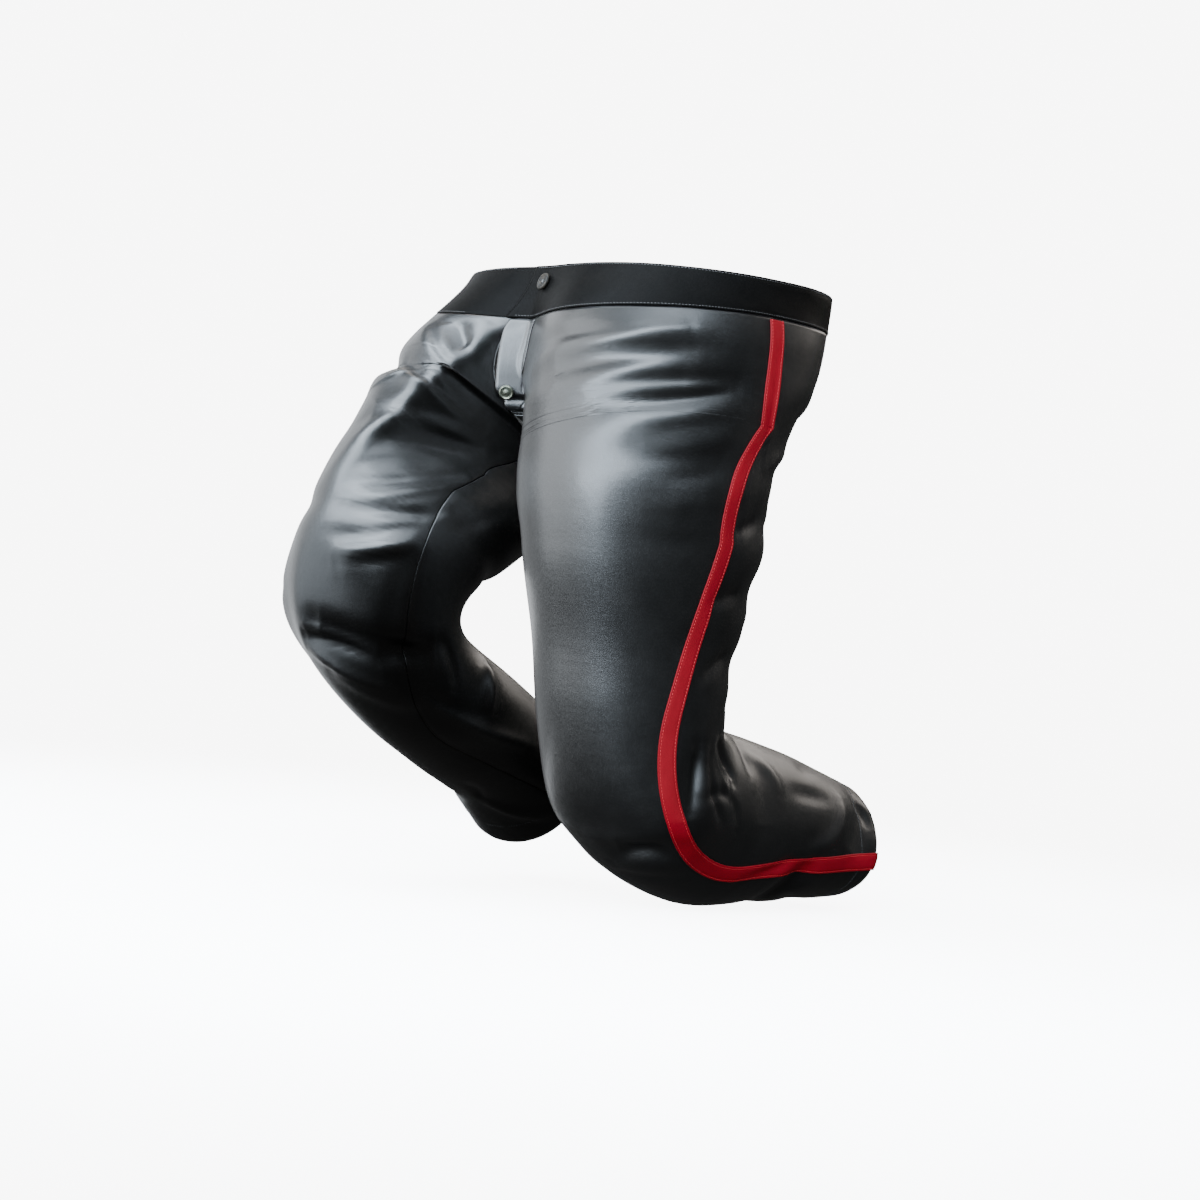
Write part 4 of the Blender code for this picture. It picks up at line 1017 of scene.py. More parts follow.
@dataclass
class Panel:
    """The front or the back of one leg, cut from the skin at its seams.

    A lap is the part that lies under the neighbour at the centre seam and the inseam. A tuck is
    the part that goes up behind the waistband.
    """

    skin: Skin
    part: Part
    columns: int = 136
    thickness: float = 0.0015
    hem_depth: float = 0.026
    hem_extra: float = 1.15
    hem_step: float = 0.0010
    hem_pucker: float = 1.4
    lap_reach: tuple[float, ...] = (0.0026, 0.0004)
    lap_wall: float = 0.001
    lap_over: float = 0.06
    lap_from_waist: float = 0.03
    lap_from_hem: tuple[float, float] = (0.003, 0.004)
    tuck_reach: tuple[float, ...] = (0.0045, 0.0004)
    tuck_depth: float = 0.0021
    tuck_wall: float = 0.0004
    rest_gap: float = 0.0003
    hem_stitch_inset: float = 0.002
    hem_stitch_ends: tuple[float, float] = (0.003, 0.010)
    hem_stitch_lift: float = 0.0001
    hem_stitch_points: int = 90
    least_round: float = 0.02
    seam: Edge = field(default_factory=Edge)
    pucker: Pucker = field(default_factory=Pucker)

    def __post_init__(self) -> None:
        """Cut the rows."""
        self.name = f"{self.part.name.lower()}_{self.skin.side.name.lower()}"
        self.rows = [self.cut_row(i) for i in range(len(self.skin.places))]

    def crossing(self, ring_side: np.ndarray, end: int, step: int) -> float:
        """Place, in columns, where a ring crosses the plane between the legs.

        Args:
            ring_side: Distance of each point from the plane, positive on the leg's side.
            end: The column where the walk from the outseam ends.
            step: The direction of the walk.

        Returns:
            The crossing, or the end.
        """
        i = len(ring_side) // 2
        while i != end and ring_side[i + step] >= 0:
            i += step
        if i == end:
            return float(end)
        return i + step * ring_side[i] / (ring_side[i] - ring_side[i + step])

    def cut_row(self, row: int) -> tuple[np.ndarray, np.ndarray, np.ndarray, np.ndarray]:
        """Points, normals, lifts and lengths of one row, from its centre seam to its outseam."""
        skin = self.skin
        ring, normals, lift = skin.points[row], skin.normals[row], skin.lift[row]
        count = len(ring) - 1
        end, step = (0, -1) if self.part is Part.FRONT else (count, 1)
        first, last = float(end), count / 2
        if skin.places[row] <= Zone.HIP.value:
            first = self.crossing(skin.leg.side * (ring @ skin.figure.left), end, step)
        inner = np.arange(int(np.floor(min(first, last))) + 1, int(np.ceil(max(first, last))))
        places = np.concatenate(((first,), inner if last > first else inner[::-1], (last,)))
        i = np.clip(places.astype(int), 0, count - 1)
        share = (places - i)[:, None]
        points, leaning, lifts = (
            blend(values[i], values[i + 1], share) for values in (ring, normals, lift[:, None])
        )
        return points, leaning, lifts[:, 0], lengths(points)

    def at(
        self, row: int, distances: np.ndarray, from_outseam: bool = False
    ) -> tuple[np.ndarray, np.ndarray]:
        """Points and normals of a row at distances from its centre seam or its outseam."""
        points, leaning, _, length = self.rows[row]
        at = length[-1] - distances if from_outseam else distances
        spots, normals = (
            np.stack([np.interp(at, length, values[:, k]) for k in range(3)], -1)
            for values in (points, leaning)
        )
        return spots, unit(normals)

    def lap(self, from_hem: np.ndarray) -> np.ndarray:
        """Share of the full lap on each row, 0 to 1, by its distance from the hem."""
        below = ease((self.skin.places - Zone.HIP.value) / self.lap_over)
        shares = {
            (Side.LEFT, Part.FRONT): np.ones(len(below)), (Side.LEFT, Part.BACK): 1 - below,
            (Side.RIGHT, Part.FRONT): below, (Side.RIGHT, Part.BACK): np.zeros(len(below)),
        }
        start, over = self.lap_from_hem
        ends = ease(self.skin.places / self.lap_from_waist) * ease((from_hem - start) / over)
        return shares[self.skin.side, self.part] * ends

    def add_lap(self, sheet: Sheet, spots: np.ndarray, wall: np.ndarray, share: np.ndarray) -> None:
        """Add the lap's columns.

        Args:
            sheet: The panel so far.
            spots: The skin's points along its first column.
            wall: The wall's thickness there.
            share: The share of the full lap on each row.
        """
        if not share.any():
            return
        normal, share, wall = sheet.normals[:, 0], share[:, None], wall[:, None]
        step = flattened(sheet.points[:, 0] - sheet.points[:, 3], normal)
        outer, inner, across = [], [], []
        for reach in self.lap_reach:
            moved = spots + share * reach * step
            sunk = moved - (wall + self.rest_gap) * normal
            outer.append(blend(sheet.points[:, 0], sunk, share))
            sunk = moved - (wall + self.rest_gap + self.lap_wall) * normal
            inner.append(blend(sheet.inner[:, 0], sunk, share))
            across.append(sheet.across[:, 0] - share[:, 0] * reach)
        sheet.extend(1, outer, inner, across)

    def add_tuck(self, sheet: Sheet) -> None:
        """Add the tuck's rows."""
        normal, inner_depth = sheet.normals[0], self.tuck_depth - self.tuck_wall
        step = flattened(sheet.points[0] - sheet.points[2], normal)
        outer, inner, along = [], [], []
        for reach in self.tuck_reach:
            outer.append(sheet.points[0] + reach * step - self.tuck_depth * normal)
            inner.append(sheet.inner[0] + reach * step - inner_depth * normal)
            along.append(sheet.along[0] - reach)
        sheet.extend(0, outer, inner, along)

    def sheet(self) -> Sheet:
        """The panel as a wall: rolled seams, puckers, a turned-up hem."""
        skin, figure = self.skin, self.skin.figure
        steps = self.seam.steps() + figure.seam_gap / 2
        found = []
        for row, (_, _, lifts, length) in enumerate(self.rows):
            even = np.linspace(steps[-1], length[-1] - steps[-1], self.columns)[1:-1]
            places = np.concatenate((steps, even, length[-1] - steps[::-1]))
            spots, leaning = self.at(row, places)
            if skin.places[row] <= Zone.HIP.value:
                leaning[0] -= (leaning[0] @ figure.left) * figure.left
            ridge = np.interp(places, length, lifts)
            from_edge = np.minimum(places, length[-1] - places)
            found.append((spots, unit(leaning), ridge, places, from_edge))
        points, normals, ridge, across, from_edge = (np.array(values) for values in zip(*found))
        along = lengths(points)[:, None] * np.ones(points.shape[1])
        from_hem = along[-1, 0] - along
        lift = -self.seam.sink(from_edge - figure.seam_gap / 2)
        lift += self.pucker.lift(from_edge, along)
        lift += self.hem_pucker * self.pucker.lift(np.abs(from_hem - self.hem_depth), across)
        doubled = ease((self.hem_depth + self.hem_step - from_hem) / self.hem_step)
        wall = self.thickness * (1 + self.hem_extra * doubled)
        sunk = wall / 2 * (1 - rounded(from_hem, wall / 2, self.least_round))
        side = skin.leg.side
        outer = figure.keep_apart(points + (lift - sunk)[..., None] * normals, side)
        inner = figure.keep_apart(points - (wall - sunk)[..., None] * normals, side)
        flip = side * self.part.value < 0
        made = Sheet(self.name, outer, inner, normals, across, along, flip, ridge)
        self.add_lap(made, points[:, 0], wall[:, 0], self.lap(from_hem[:, 0]))
        self.add_tuck(made)
        return made

    def hem_path(self) -> np.ndarray:
        """The row of stitches across the hem."""
        column = [row[0][5] for row in self.rows]
        from_hem = np.linalg.norm(np.array(column) - column[-1], axis=1)
        row = int(np.argmin(np.abs(from_hem - (self.hem_depth - self.hem_stitch_inset))))
        first, last = self.hem_stitch_ends
        last = self.rows[row][3][-1] - last
        points, normals = self.at(row, np.linspace(first, last, self.hem_stitch_points))
        return points + self.hem_stitch_lift * normals


def trim_top(from_edge: np.ndarray, rest_gap: float, thickness: float) -> np.ndarray:
    """Height over the leather below of a trim's outside, rolled at its edge."""
    least_round = 0.05
    return rest_gap + thickness * rounded(from_edge, thickness, least_round)


@dataclass
class Stripe:
    """The red leather stripe that covers an outseam."""

    front: Panel
    back: Panel
    width: float = 0.018
    thickness: float = 0.0011
    rest_gap: float = 0.0003
    below_band: float = 0.0016
    stitch_inset: float = 0.0022
    groove: float = 0.00035
    groove_width: float = 0.0007
    rim: tuple[float, ...] = (0.0, 0.00012, 0.0004, 0.0009, 0.0016, 0.0022, 0.0028, 0.0040)
    middle: tuple[float, ...] = (-0.003, -0.001, 0.001, 0.003)
    stitch_sink: float = 0.0002

    def across_seam(self, offsets: np.ndarray) -> tuple[np.ndarray, np.ndarray]:
        """Points and normals at offsets from the outseam, front ones negative."""
        halves = (self.front, -offsets[offsets < 0]), (self.back, offsets[offsets >= 0])
        points, normals = [], []
        for row in range(len(self.front.rows)):
            ahead, behind = (panel.at(row, places, from_outseam=True) for panel, places in halves)
            points.append(np.concatenate((ahead[0], behind[0])))
            normals.append(np.concatenate((ahead[1], behind[1])))
        points, normals = np.array(points), np.array(normals)
        points[0] += self.below_band * unit(points[1] - points[0])
        return points, unit(normals)

    def sheet(self) -> Sheet:
        """The stripe as a wall with rolled edges and a dip along each row of stitches."""
        half, rim = self.width / 2, np.array(self.rim)
        offsets = np.concatenate((rim - half, self.middle, half - rim[::-1]))
        points, normals = self.across_seam(offsets)
        from_edge = half - np.abs(offsets)
        top = trim_top(from_edge, self.rest_gap, self.thickness)
        top -= self.groove * bell(from_edge - self.stitch_inset, self.groove_width)
        outer = points + top[None, :, None] * normals
        inner = points + self.rest_gap * normals
        along = lengths(points)[:, None] * np.ones(len(offsets))
        across = np.ones((len(points), 1)) * (offsets + half)
        side = self.front.skin.side
        name = f"stripe_{side.name.lower()}"
        return Sheet(name, outer, inner, normals, across, along, side is Side.RIGHT)

    def stitch_paths(self) -> list[np.ndarray]:
        """The two rows of stitches."""
        inset = self.width / 2 - self.stitch_inset
        points, normals = self.across_seam(np.array((-inset, inset)))
        lifted = points + (self.rest_gap + self.thickness - self.stitch_sink) * normals
        return [lifted[1:-1, 0], lifted[1:-1, 1]]


@dataclass
class FlyFacing:
    """The facing that covers the opening, sewn with a double row in the shape of a J."""

    front: Panel
    width: float = 0.034
    turn_place: float = 5 / 14
    end_place: float = 8 / 14
    thickness: float = 0.0010
    rest_gap: float = 0.0003
    insets: tuple[float, ...] = (0.0025, 0.0080)
    groove: float = 0.0005
    groove_width: float = 0.0011
    seam_groove: float = 0.0006
    seam_groove_width: float = 0.0012
    least_width: float = 0.0015
    first_place: float = 0.012
    past_end: float = 1.01
    crowding: tuple[float, float] = (1.6, 1.8)
    columns: int = 36
    rows: int = 90
    stitch_start: float = 0.02
    stitch_turn: float = 86.0
    stitch_end_per_inset: float = 4.0
    stitch_points: int = 24

    def j_width(self, place: float) -> float:
        """Width of the facing at a place down the front, a J at its lower end."""
        bend = (place - self.turn_place) / (self.end_place * self.past_end - self.turn_place)
        return max(self.width * np.sqrt(1 - np.clip(bend, 0, 1) ** 2), self.least_width)

    def on_front(self, place: float, distances: np.ndarray) -> tuple[np.ndarray, np.ndarray]:
        """Points and normals at a place down the front."""
        row = np.interp(place, self.front.skin.places, np.arange(len(self.front.rows)))
        i = min(int(row), len(self.front.rows) - 2)
        near, far = self.front.at(i, distances), self.front.at(i + 1, distances)
        points, normals = (blend(one, other, row - i) for one, other in zip(near, far))
        return points, unit(normals)

    def sheet(self) -> Sheet:
        """The facing as a wall with rolled edges and a dip along each row of stitches."""
        down, across = (
            1 - (1 - np.linspace(0, 1, count)) ** power
            for count, power in zip((self.rows, self.columns), self.crowding)
        )
        found = []
        for place in np.maximum(self.end_place * down, self.first_place):
            distances = self.front.skin.figure.seam_gap / 2 + across * self.j_width(place)
            found.append((*self.on_front(place, distances), distances))
        points, normals, across = (np.array(values) for values in zip(*found))
        along = lengths(points)[:, None] * np.ones(self.columns)
        from_edge = np.minimum(across[:, -1:] - across, along[-1, 0] - along)
        top = trim_top(from_edge, self.rest_gap, self.thickness)
        top -= self.seam_groove * bell(across, self.seam_groove_width)
        for inset in self.insets:
            top -= self.groove * bell(from_edge - inset, self.groove_width)
        outer = points + top[..., None] * normals
        return Sheet("fly", outer, points + self.rest_gap * normals, normals, across, along, False)

    def stitch_paths(self) -> list[np.ndarray]:
        """The J rows, each at its inset from the facing's edge."""
        paths = []
        lift = self.rest_gap + self.thickness - self.groove / 2
        count = self.stitch_points
        turn = np.radians(np.linspace(0, self.stitch_turn, count)[1:])
        straight = np.linspace(self.stitch_start, self.turn_place, count)
        for inset in self.insets:
            width = self.width - inset
            bend = self.end_place - inset * self.stitch_end_per_inset - self.turn_place
            places = straight, self.turn_place + bend * np.sin(turn)
            widths = np.concatenate((np.full(count, width), width * np.cos(turn)))
            path = []
            for place, distance in zip(np.concatenate(places), widths):
                spot, normal = self.on_front(place, np.array((distance,)))
                path.append(spot[0] + lift * normal[0])
            paths.append(np.array(path))
        return paths


@dataclass
class BandShape:
    """The waistband's sizes. Its angles are in degrees round the waist, from the centre front."""

    height: float = 0.036
    front_drop: float = 0.016
    seam_gap: float = 0.0006
    thickness: float = 0.0028
    proud: float = 0.0010
    rest_gap: float = 0.0003
    under_angle: float = 13.0
    lap_angle: float = -2.0
    tuck_over: float = 14.0

    def edge(self, figure: Figure, points: np.ndarray) -> np.ndarray:
        """How far below the waist the lower edge is, on the side where the points lie."""
        forward, sideways = points @ figure.front, points @ figure.left
        facing = forward / np.hypot(forward, sideways)
        return self.height + self.front_drop * np.maximum(facing, 0) ** 2


@dataclass
class Waistband:
    """The band: folded leather, lapped over at the front, stitched along both edges."""

    figure: Figure
    shape: BandShape
    coarse_columns: int = 100
    columns: int = 420
    coarse_rows: int = 4
    rows: int = 14
    stitch_inset: float = 0.0024
    groove: float = 0.0003
    groove_width: float = 0.0008
    wave: float = 0.0007
    wave_fade: float = 0.006
    end_fade: float = 0.01
    least_round: tuple[float, float] = (0.02, 0.05)
    stitch_sink: float = 0.00005
    stitch_ends: tuple[int, int] = (30, 3)
    edge_rows: tuple[float, ...] = (0.0, 0.00015, 0.0005, 0.0010, 0.0016, 0.0024, 0.0034)

    def __post_init__(self) -> None:
        """Find the outside of the band on the figure."""
        figure, shape = self.figure, self.shape
        around = np.linspace(shape.under_angle, shape.lap_angle - 360, self.coarse_columns + 1)
        turn = np.radians(around)[None, :, None]
        rays = np.cos(turn) * figure.front + np.sin(turn) * figure.left
        level = np.zeros((1, len(around), 3))
        caster = Rings(figure, figure.legs[Side.LEFT], {})
        edge = shape.edge(figure, caster.find_surface(figure.torso_depth, level, rays))
        share = np.linspace(0, 1, self.coarse_rows + 1)[:, None]
        centres = (share * edge)[..., None] * figure.down
        rays = np.repeat(rays, self.coarse_rows + 1, axis=0)
        points = caster.find_surface(figure.torso_depth, centres, rays)
        at = np.linspace(0, self.coarse_columns, self.columns + 1)
        points = refined_columns(points, at)
        around = np.interp(at, np.arange(self.coarse_columns + 1), around)
        near = np.array(self.edge_rows) / np.linalg.norm(points[-1] - points[0], axis=-1).mean()
        even = np.linspace(near[-1], 1 - near[-1], self.rows)[1:-1]
        self.shares = np.concatenate((near, even, 1 - near[::-1]))
        self.points = cubic(points, self.shares * self.coarse_rows)
        normals = np.cross(np.gradient(self.points, axis=1), np.gradient(self.points, axis=0))
        self.normals = unit(normals - (normals @ figure.down)[..., None] * figure.down)
        tucked = 1 - ease((shape.lap_angle - around) / shape.tuck_over)
        self.tuck = tucked * (shape.thickness + shape.rest_gap)
        self.height = np.linalg.norm(self.points[-1] - self.points[0], axis=-1)

    def sheet(self) -> Sheet:
        """The band as a wall: folded top, rolled lower edge, slightly wavy between the seams."""
        along = self.shares[:, None] * self.height
        across = lengths(self.points[0])[None] * np.ones((len(self.shares), 1))
        from_edge = np.minimum(along, self.height - along)
        from_end = np.minimum(across, across[0, -1] - across)
        lift = Pucker(height=0.0004, reach=0.016, wave=0.019, seed=21).lift(from_edge, across)
        waves = Rumple(seed=5, across=0.085, along=0.030).at(across, along)
        lift += self.wave * waves * ease(from_edge / self.wave_fade)
        lift -= self.groove * bell(from_edge - self.stitch_inset, self.groove_width)
        half = self.shape.thickness / 2
        distances = zip((from_edge, from_end), self.least_round)
        rolled = np.minimum(*(rounded(distance, half, least) for distance, least in distances))
        sunk = half * (1 - rolled)
        base = self.shape.proud - self.tuck[None, :]
        high = base + lift * ease(from_end / self.end_fade) - sunk
        low = base - self.shape.thickness + sunk
        outer, inner = (self.points + value[..., None] * self.normals for value in (high, low))
        return Sheet("waistband", outer, inner, self.normals, across, along, True)

    def stitch_paths(self) -> list[np.ndarray]:
        """Rows along the top and the lower edge."""
        paths = []
        column = np.arange(len(self.height))
        lift = (self.shape.proud - self.tuck - self.stitch_sink)[:, None]
        for inset in (self.stitch_inset, -self.stitch_inset):
            share = (inset / self.height) % 1
            rows = np.interp(share, self.shares, np.arange(len(self.shares)))
            i = rows.astype(int)
            spots = blend(self.points[i, column], self.points[i + 1, column], (rows - i)[:, None])
            path = spots + lift * self.normals[i, column]
            paths.append(path[self.stitch_ends[0]:-self.stitch_ends[1]])
        return paths


# ---------------------------------------------------------------- shader expressions


class Socket:
    """A node's output that Python's operators work on.

    Attributes:
        graph: The graph that the node is in.
        output: Blender's own socket.
    """

    def __init__(self, graph: "Graph", output: bpy.types.NodeSocket | None) -> None:
        """Wrap one output."""
        self.graph = graph
        self.output = output

    def __add__(self, other: "Socket | float") -> "Socket":
        """Sum."""
        return self.graph.math("ADD", self, other)

    def __mul__(self, other: "Socket | float") -> "Socket":
        """Product."""
        return self.graph.math("MULTIPLY", self, other)

    def __sub__(self, other: "Socket | float") -> "Socket":
        """Difference."""
        return self.graph.math("SUBTRACT", self, other)

    def __rsub__(self, other: float) -> "Socket":
        """Difference with this socket second."""
        return self.graph.math("SUBTRACT", other, self)

    __radd__, __rmul__ = __add__, __mul__

    def clamped(self) -> "Socket":
        """The value kept between 0 and 1."""
        return self.graph.node("ShaderNodeClamp", {"Value": self})

    def between(self, low: float, high: float) -> "Socket":
        """0 at low and 1 at high, smooth between them."""
        inputs = {"Value": self, "From Min": low, "From Max": high}
        return self.graph.node("ShaderNodeMapRange", inputs, interpolation_type="SMOOTHSTEP")


class Graph:
    """A node tree that is built by expressions."""

    def __init__(self, tree: bpy.types.NodeTree) -> None:
        """Start an empty tree."""
        self.tree = tree
        tree.nodes.clear()

    def node(self, kind: str, inputs: dict, output: str | int = 0, **settings: object) -> Socket:
        """Add a node.

        Args:
            kind: Blender's type name.
            inputs: Values or sockets by input name or number.
            output: The output to return, by name or number.
            settings: The node's own properties, set first.

        Returns:
            The wrapped output.
        """
        made = self.tree.nodes.new(kind)
        for name, value in settings.items():
            setattr(made, name, value)
        for name, value in inputs.items():
            if isinstance(value, Socket):
                self.tree.links.new(value.output, made.inputs[name])
            else:
                made.inputs[name].default_value = value
        return Socket(self, made.outputs[output] if made.outputs else None)

    def math(self, operation: str, *values: Socket | float) -> Socket:
        """Add a Math node."""
        return self.node("ShaderNodeMath", dict(enumerate(values)), operation=operation)

    def mix(self, factor: Socket | float, one: object, other: object) -> Socket:
        """Blend two colours, by 0 for the first one and 1 for the other."""
        return self.node("ShaderNodeMix", {0: factor, 6: one, 7: other}, 2, data_type="RGBA")


Colour = tuple[float, float, float, float]


def grey(value: float, warm: float = 0.0) -> Colour:
    """A grey, warmer where `warm` is positive and cooler where it is negative."""
    return (value * (1 + warm), value, value * (1 - warm), 1.0)


class Surface(Graph):
    """A material with one Principled shader."""

    def __init__(self, name: str) -> None:
        """Start a material."""
        self.material = bpy.data.materials.new(name)
        self.material.use_nodes = True
        super().__init__(self.material.node_tree)
        self.object_place = self.node("ShaderNodeTexCoord", {}, "Object")

    def noise(self, scale: float, detail: float = 3.0, place: Socket | None = None) -> Socket:
        """Smooth noise at a scale in cycles a metre."""
        inputs = {"Vector": place or self.object_place, "Scale": scale, "Detail": detail}
        return self.node("ShaderNodeTexNoise", inputs, "Fac")

    def cells(self, scale: float, feature: str = "F1") -> Socket:
        """Distance in cells at a scale in cells a metre."""
        inputs = {"Vector": self.object_place, "Scale": scale}
        return self.node("ShaderNodeTexVoronoi", inputs, "Distance", feature=feature)

    def stretched(self, place: Socket, *scale: float) -> Socket:
        """Places, scaled along each axis."""
        return self.node("ShaderNodeMapping", {"Vector": place, "Scale": scale})

    def bump(
        self, height: Socket, distance: float, strength: float, normal: Socket | None = None
    ) -> Socket:
        """A relief of `distance` metres for a height of 1, over another one."""
        inputs = {"Height": height, "Distance": distance, "Strength": strength}
        return self.node("ShaderNodeBump", inputs | ({"Normal": normal} if normal else {}))

    def finish(self, inputs: dict) -> bpy.types.Material:
        """Connect the Principled shader."""
        shader = self.node("ShaderNodeBsdfPrincipled", inputs)
        self.node("ShaderNodeOutputMaterial", {"Surface": shader})
        return self.material


# ---------------------------------------------------------------- finishes


@dataclass(frozen=True)
class LeatherFinish:
    """Smooth leather with a fine grain, soft from wear."""

    name: str
    low: Colour
    high: Colour
    worn: Colour
    roughness: float
    coat: float = 0.0
    coat_roughness: float = 0.20
    grain: float = 760.0
    grain_depth: float = 0.00006
    wrinkle_depth: float = 0.00030
    gloss: float = 0.5

    def make(self) -> bpy.types.Material:
        """Build the material."""
        s = Surface(self.name)
        broad, fine = s.noise(9.0, 2.0), s.noise(48.0, 4.0)
        pores = s.cells(self.grain, "DISTANCE_TO_EDGE").between(0.02, 0.22)
        mottle = s.cells(self.grain * 0.31)
        layout = s.node("ShaderNodeUVMap", {}, uv_map="layout")
        crease = s.noise(1.0, 4.0, s.stretched(layout, 26.0, 110.0, 1.0))
        slack = s.noise(1.0, 3.0, s.stretched(layout, 150.0, 38.0, 1.0))
        ridge = s.node("ShaderNodeAttribute", {}, "Fac", attribute_name="ridge") * 220.0
        worn = (ridge + (fine - 0.5) * 0.8).between(0.15, 1.3)
        tint = (broad * 0.6 + fine * 0.4).between(0.3, 0.7)
        colour = s.mix(tint, self.low, self.high)
        colour = s.mix(worn * 0.55, colour, self.worn)
        colour = s.mix((1 - pores) * 0.35, colour, self.low)
        rough = self.roughness + (broad - 0.5) * 0.10 + (fine - 0.5) * 0.08 + (1 - pores) * 0.06
        relief = s.bump(crease * 0.6 + slack * 0.4, self.wrinkle_depth, 0.8)
        relief = s.bump(fine * 0.6 + mottle * 0.4, self.wrinkle_depth * 0.5, 0.7, relief)
        relief = s.bump(pores, self.grain_depth, 0.6, relief)
        return s.finish({
            "Base Color": colour, "Roughness": rough.clamped(), "Normal": relief,
            "Coat Weight": self.coat, "Coat Roughness": self.coat_roughness,
            "Specular IOR Level": self.gloss,
        })


@dataclass(frozen=True)
class FleshFinish:
    """The napped flesh side of leather."""

    name: str
    low: Colour
    high: Colour

    def make(self) -> bpy.types.Material:
        """Build the material."""
        s = Surface(self.name)
        nap, cloud = s.noise(900.0, 5.0), s.noise(30.0, 3.0)
        colour = s.mix(nap * 0.6 + cloud * 0.4, self.low, self.high)
        relief = s.bump(nap, 0.0003, 0.6)
        return s.finish(
            {"Base Color": colour, "Roughness": 0.9, "Sheen Weight": 0.2, "Normal": relief}
        )


@dataclass(frozen=True)
class ThreadFinish:
    """Waxed, twisted thread."""

    name: str
    colour: Colour
    shade: Colour

    def make(self) -> bpy.types.Material:
        """Build the material."""
        s = Surface(self.name)
        ply = s.noise(1500.0, 2.0)
        colour, relief = s.mix(ply, self.shade, self.colour), s.bump(ply, 0.0001, 0.5)
        return s.finish({"Base Color": colour, "Roughness": 0.55, "Normal": relief})


@dataclass(frozen=True)
class HornFinish:
    """Polished dark horn with faint streaks."""

    name: str = "dark horn"
    low: Colour = (0.004, 0.0035, 0.003, 1.0)
    high: Colour = (0.020, 0.016, 0.012, 1.0)

    def make(self) -> bpy.types.Material:
        """Build the material."""
        s = Surface(self.name)
        streaks = s.noise(1.0, 4.0, s.stretched(s.object_place, 140.0, 900.0, 240.0))
        scuff = s.noise(2400.0, 3.0)
        colour = s.mix(streaks.between(0.35, 0.75), self.low, self.high)
        return s.finish({
            "Base Color": colour, "Roughness": 0.44 + scuff * 0.14, "Specular IOR Level": 0.12,
            "Normal": s.bump(scuff, 0.00003, 0.4),
        })


@dataclass(frozen=True)
class BrassFinish:
    """Old brass, dulled in patches."""

    name: str = "old brass"
    bright: Colour = (0.15, 0.155, 0.12, 1.0)
    dull: Colour = (0.035, 0.042, 0.032, 1.0)

    def make(self) -> bpy.types.Material:
        """Build the material."""
        s = Surface(self.name)
        patina = (s.noise(420.0, 5.0) * 0.6 + s.noise(90.0, 2.0) * 0.4).between(0.38, 0.66)
        scratch = s.noise(5200.0, 2.0)
        return s.finish({
            "Base Color": s.mix(patina, self.bright, self.dull), "Metallic": 1.0 - patina * 0.35,
            "Roughness": (0.30 + patina * 0.25 + (scratch - 0.5) * 0.12).clamped(),
            "Normal": s.bump(scratch, 0.00002, 0.5),
        })


@dataclass
class Finishes:
    """Every material of the trousers."""

    def __post_init__(self) -> None:
        """Make them."""
        self.black = LeatherFinish(
            "black leather", grey(0.0012, 0.03), grey(0.0026, 0.05), grey(0.007, 0.02),
            roughness=0.35, coat=0.25, coat_roughness=0.24,
        ).make()
        # The band's leather: a darker, duller copy of the black leather. It is partly a matter
        # finish and partly painted shade: its darker colour stands in for the shadow that lies over
        # the band.
        self.matt_painted_shade = LeatherFinish(
            "matt black leather", grey(0.0007, 0.03), grey(0.0016, 0.05), grey(0.004, 0.02),
            roughness=0.46, gloss=0.025,
        ).make()
        self.red = LeatherFinish(
            "red leather", (0.115, 0.0008, 0.0042, 1), (0.150, 0.0013, 0.0060, 1),
            (0.165, 0.0030, 0.008, 1), roughness=0.52, wrinkle_depth=0.00012, gloss=0.12,
        ).make()
        self.flesh = FleshFinish("flesh side", grey(0.018, 0.12), grey(0.050, 0.14)).make()
        self.red_flesh = FleshFinish(
            "red flesh side", (0.20, 0.02, 0.02, 1), (0.30, 0.04, 0.03, 1)
        ).make()
        self.thread = ThreadFinish("black thread", grey(0.030), grey(0.010)).make()
        self.red_thread = ThreadFinish(
            "red thread", (0.40, 0.004, 0.010, 1), (0.20, 0.001, 0.004, 1)
        ).make()
        self.horn = HornFinish().make()
        self.brass = BrassFinish().make()


# ---------------------------------------------------------------- sewing


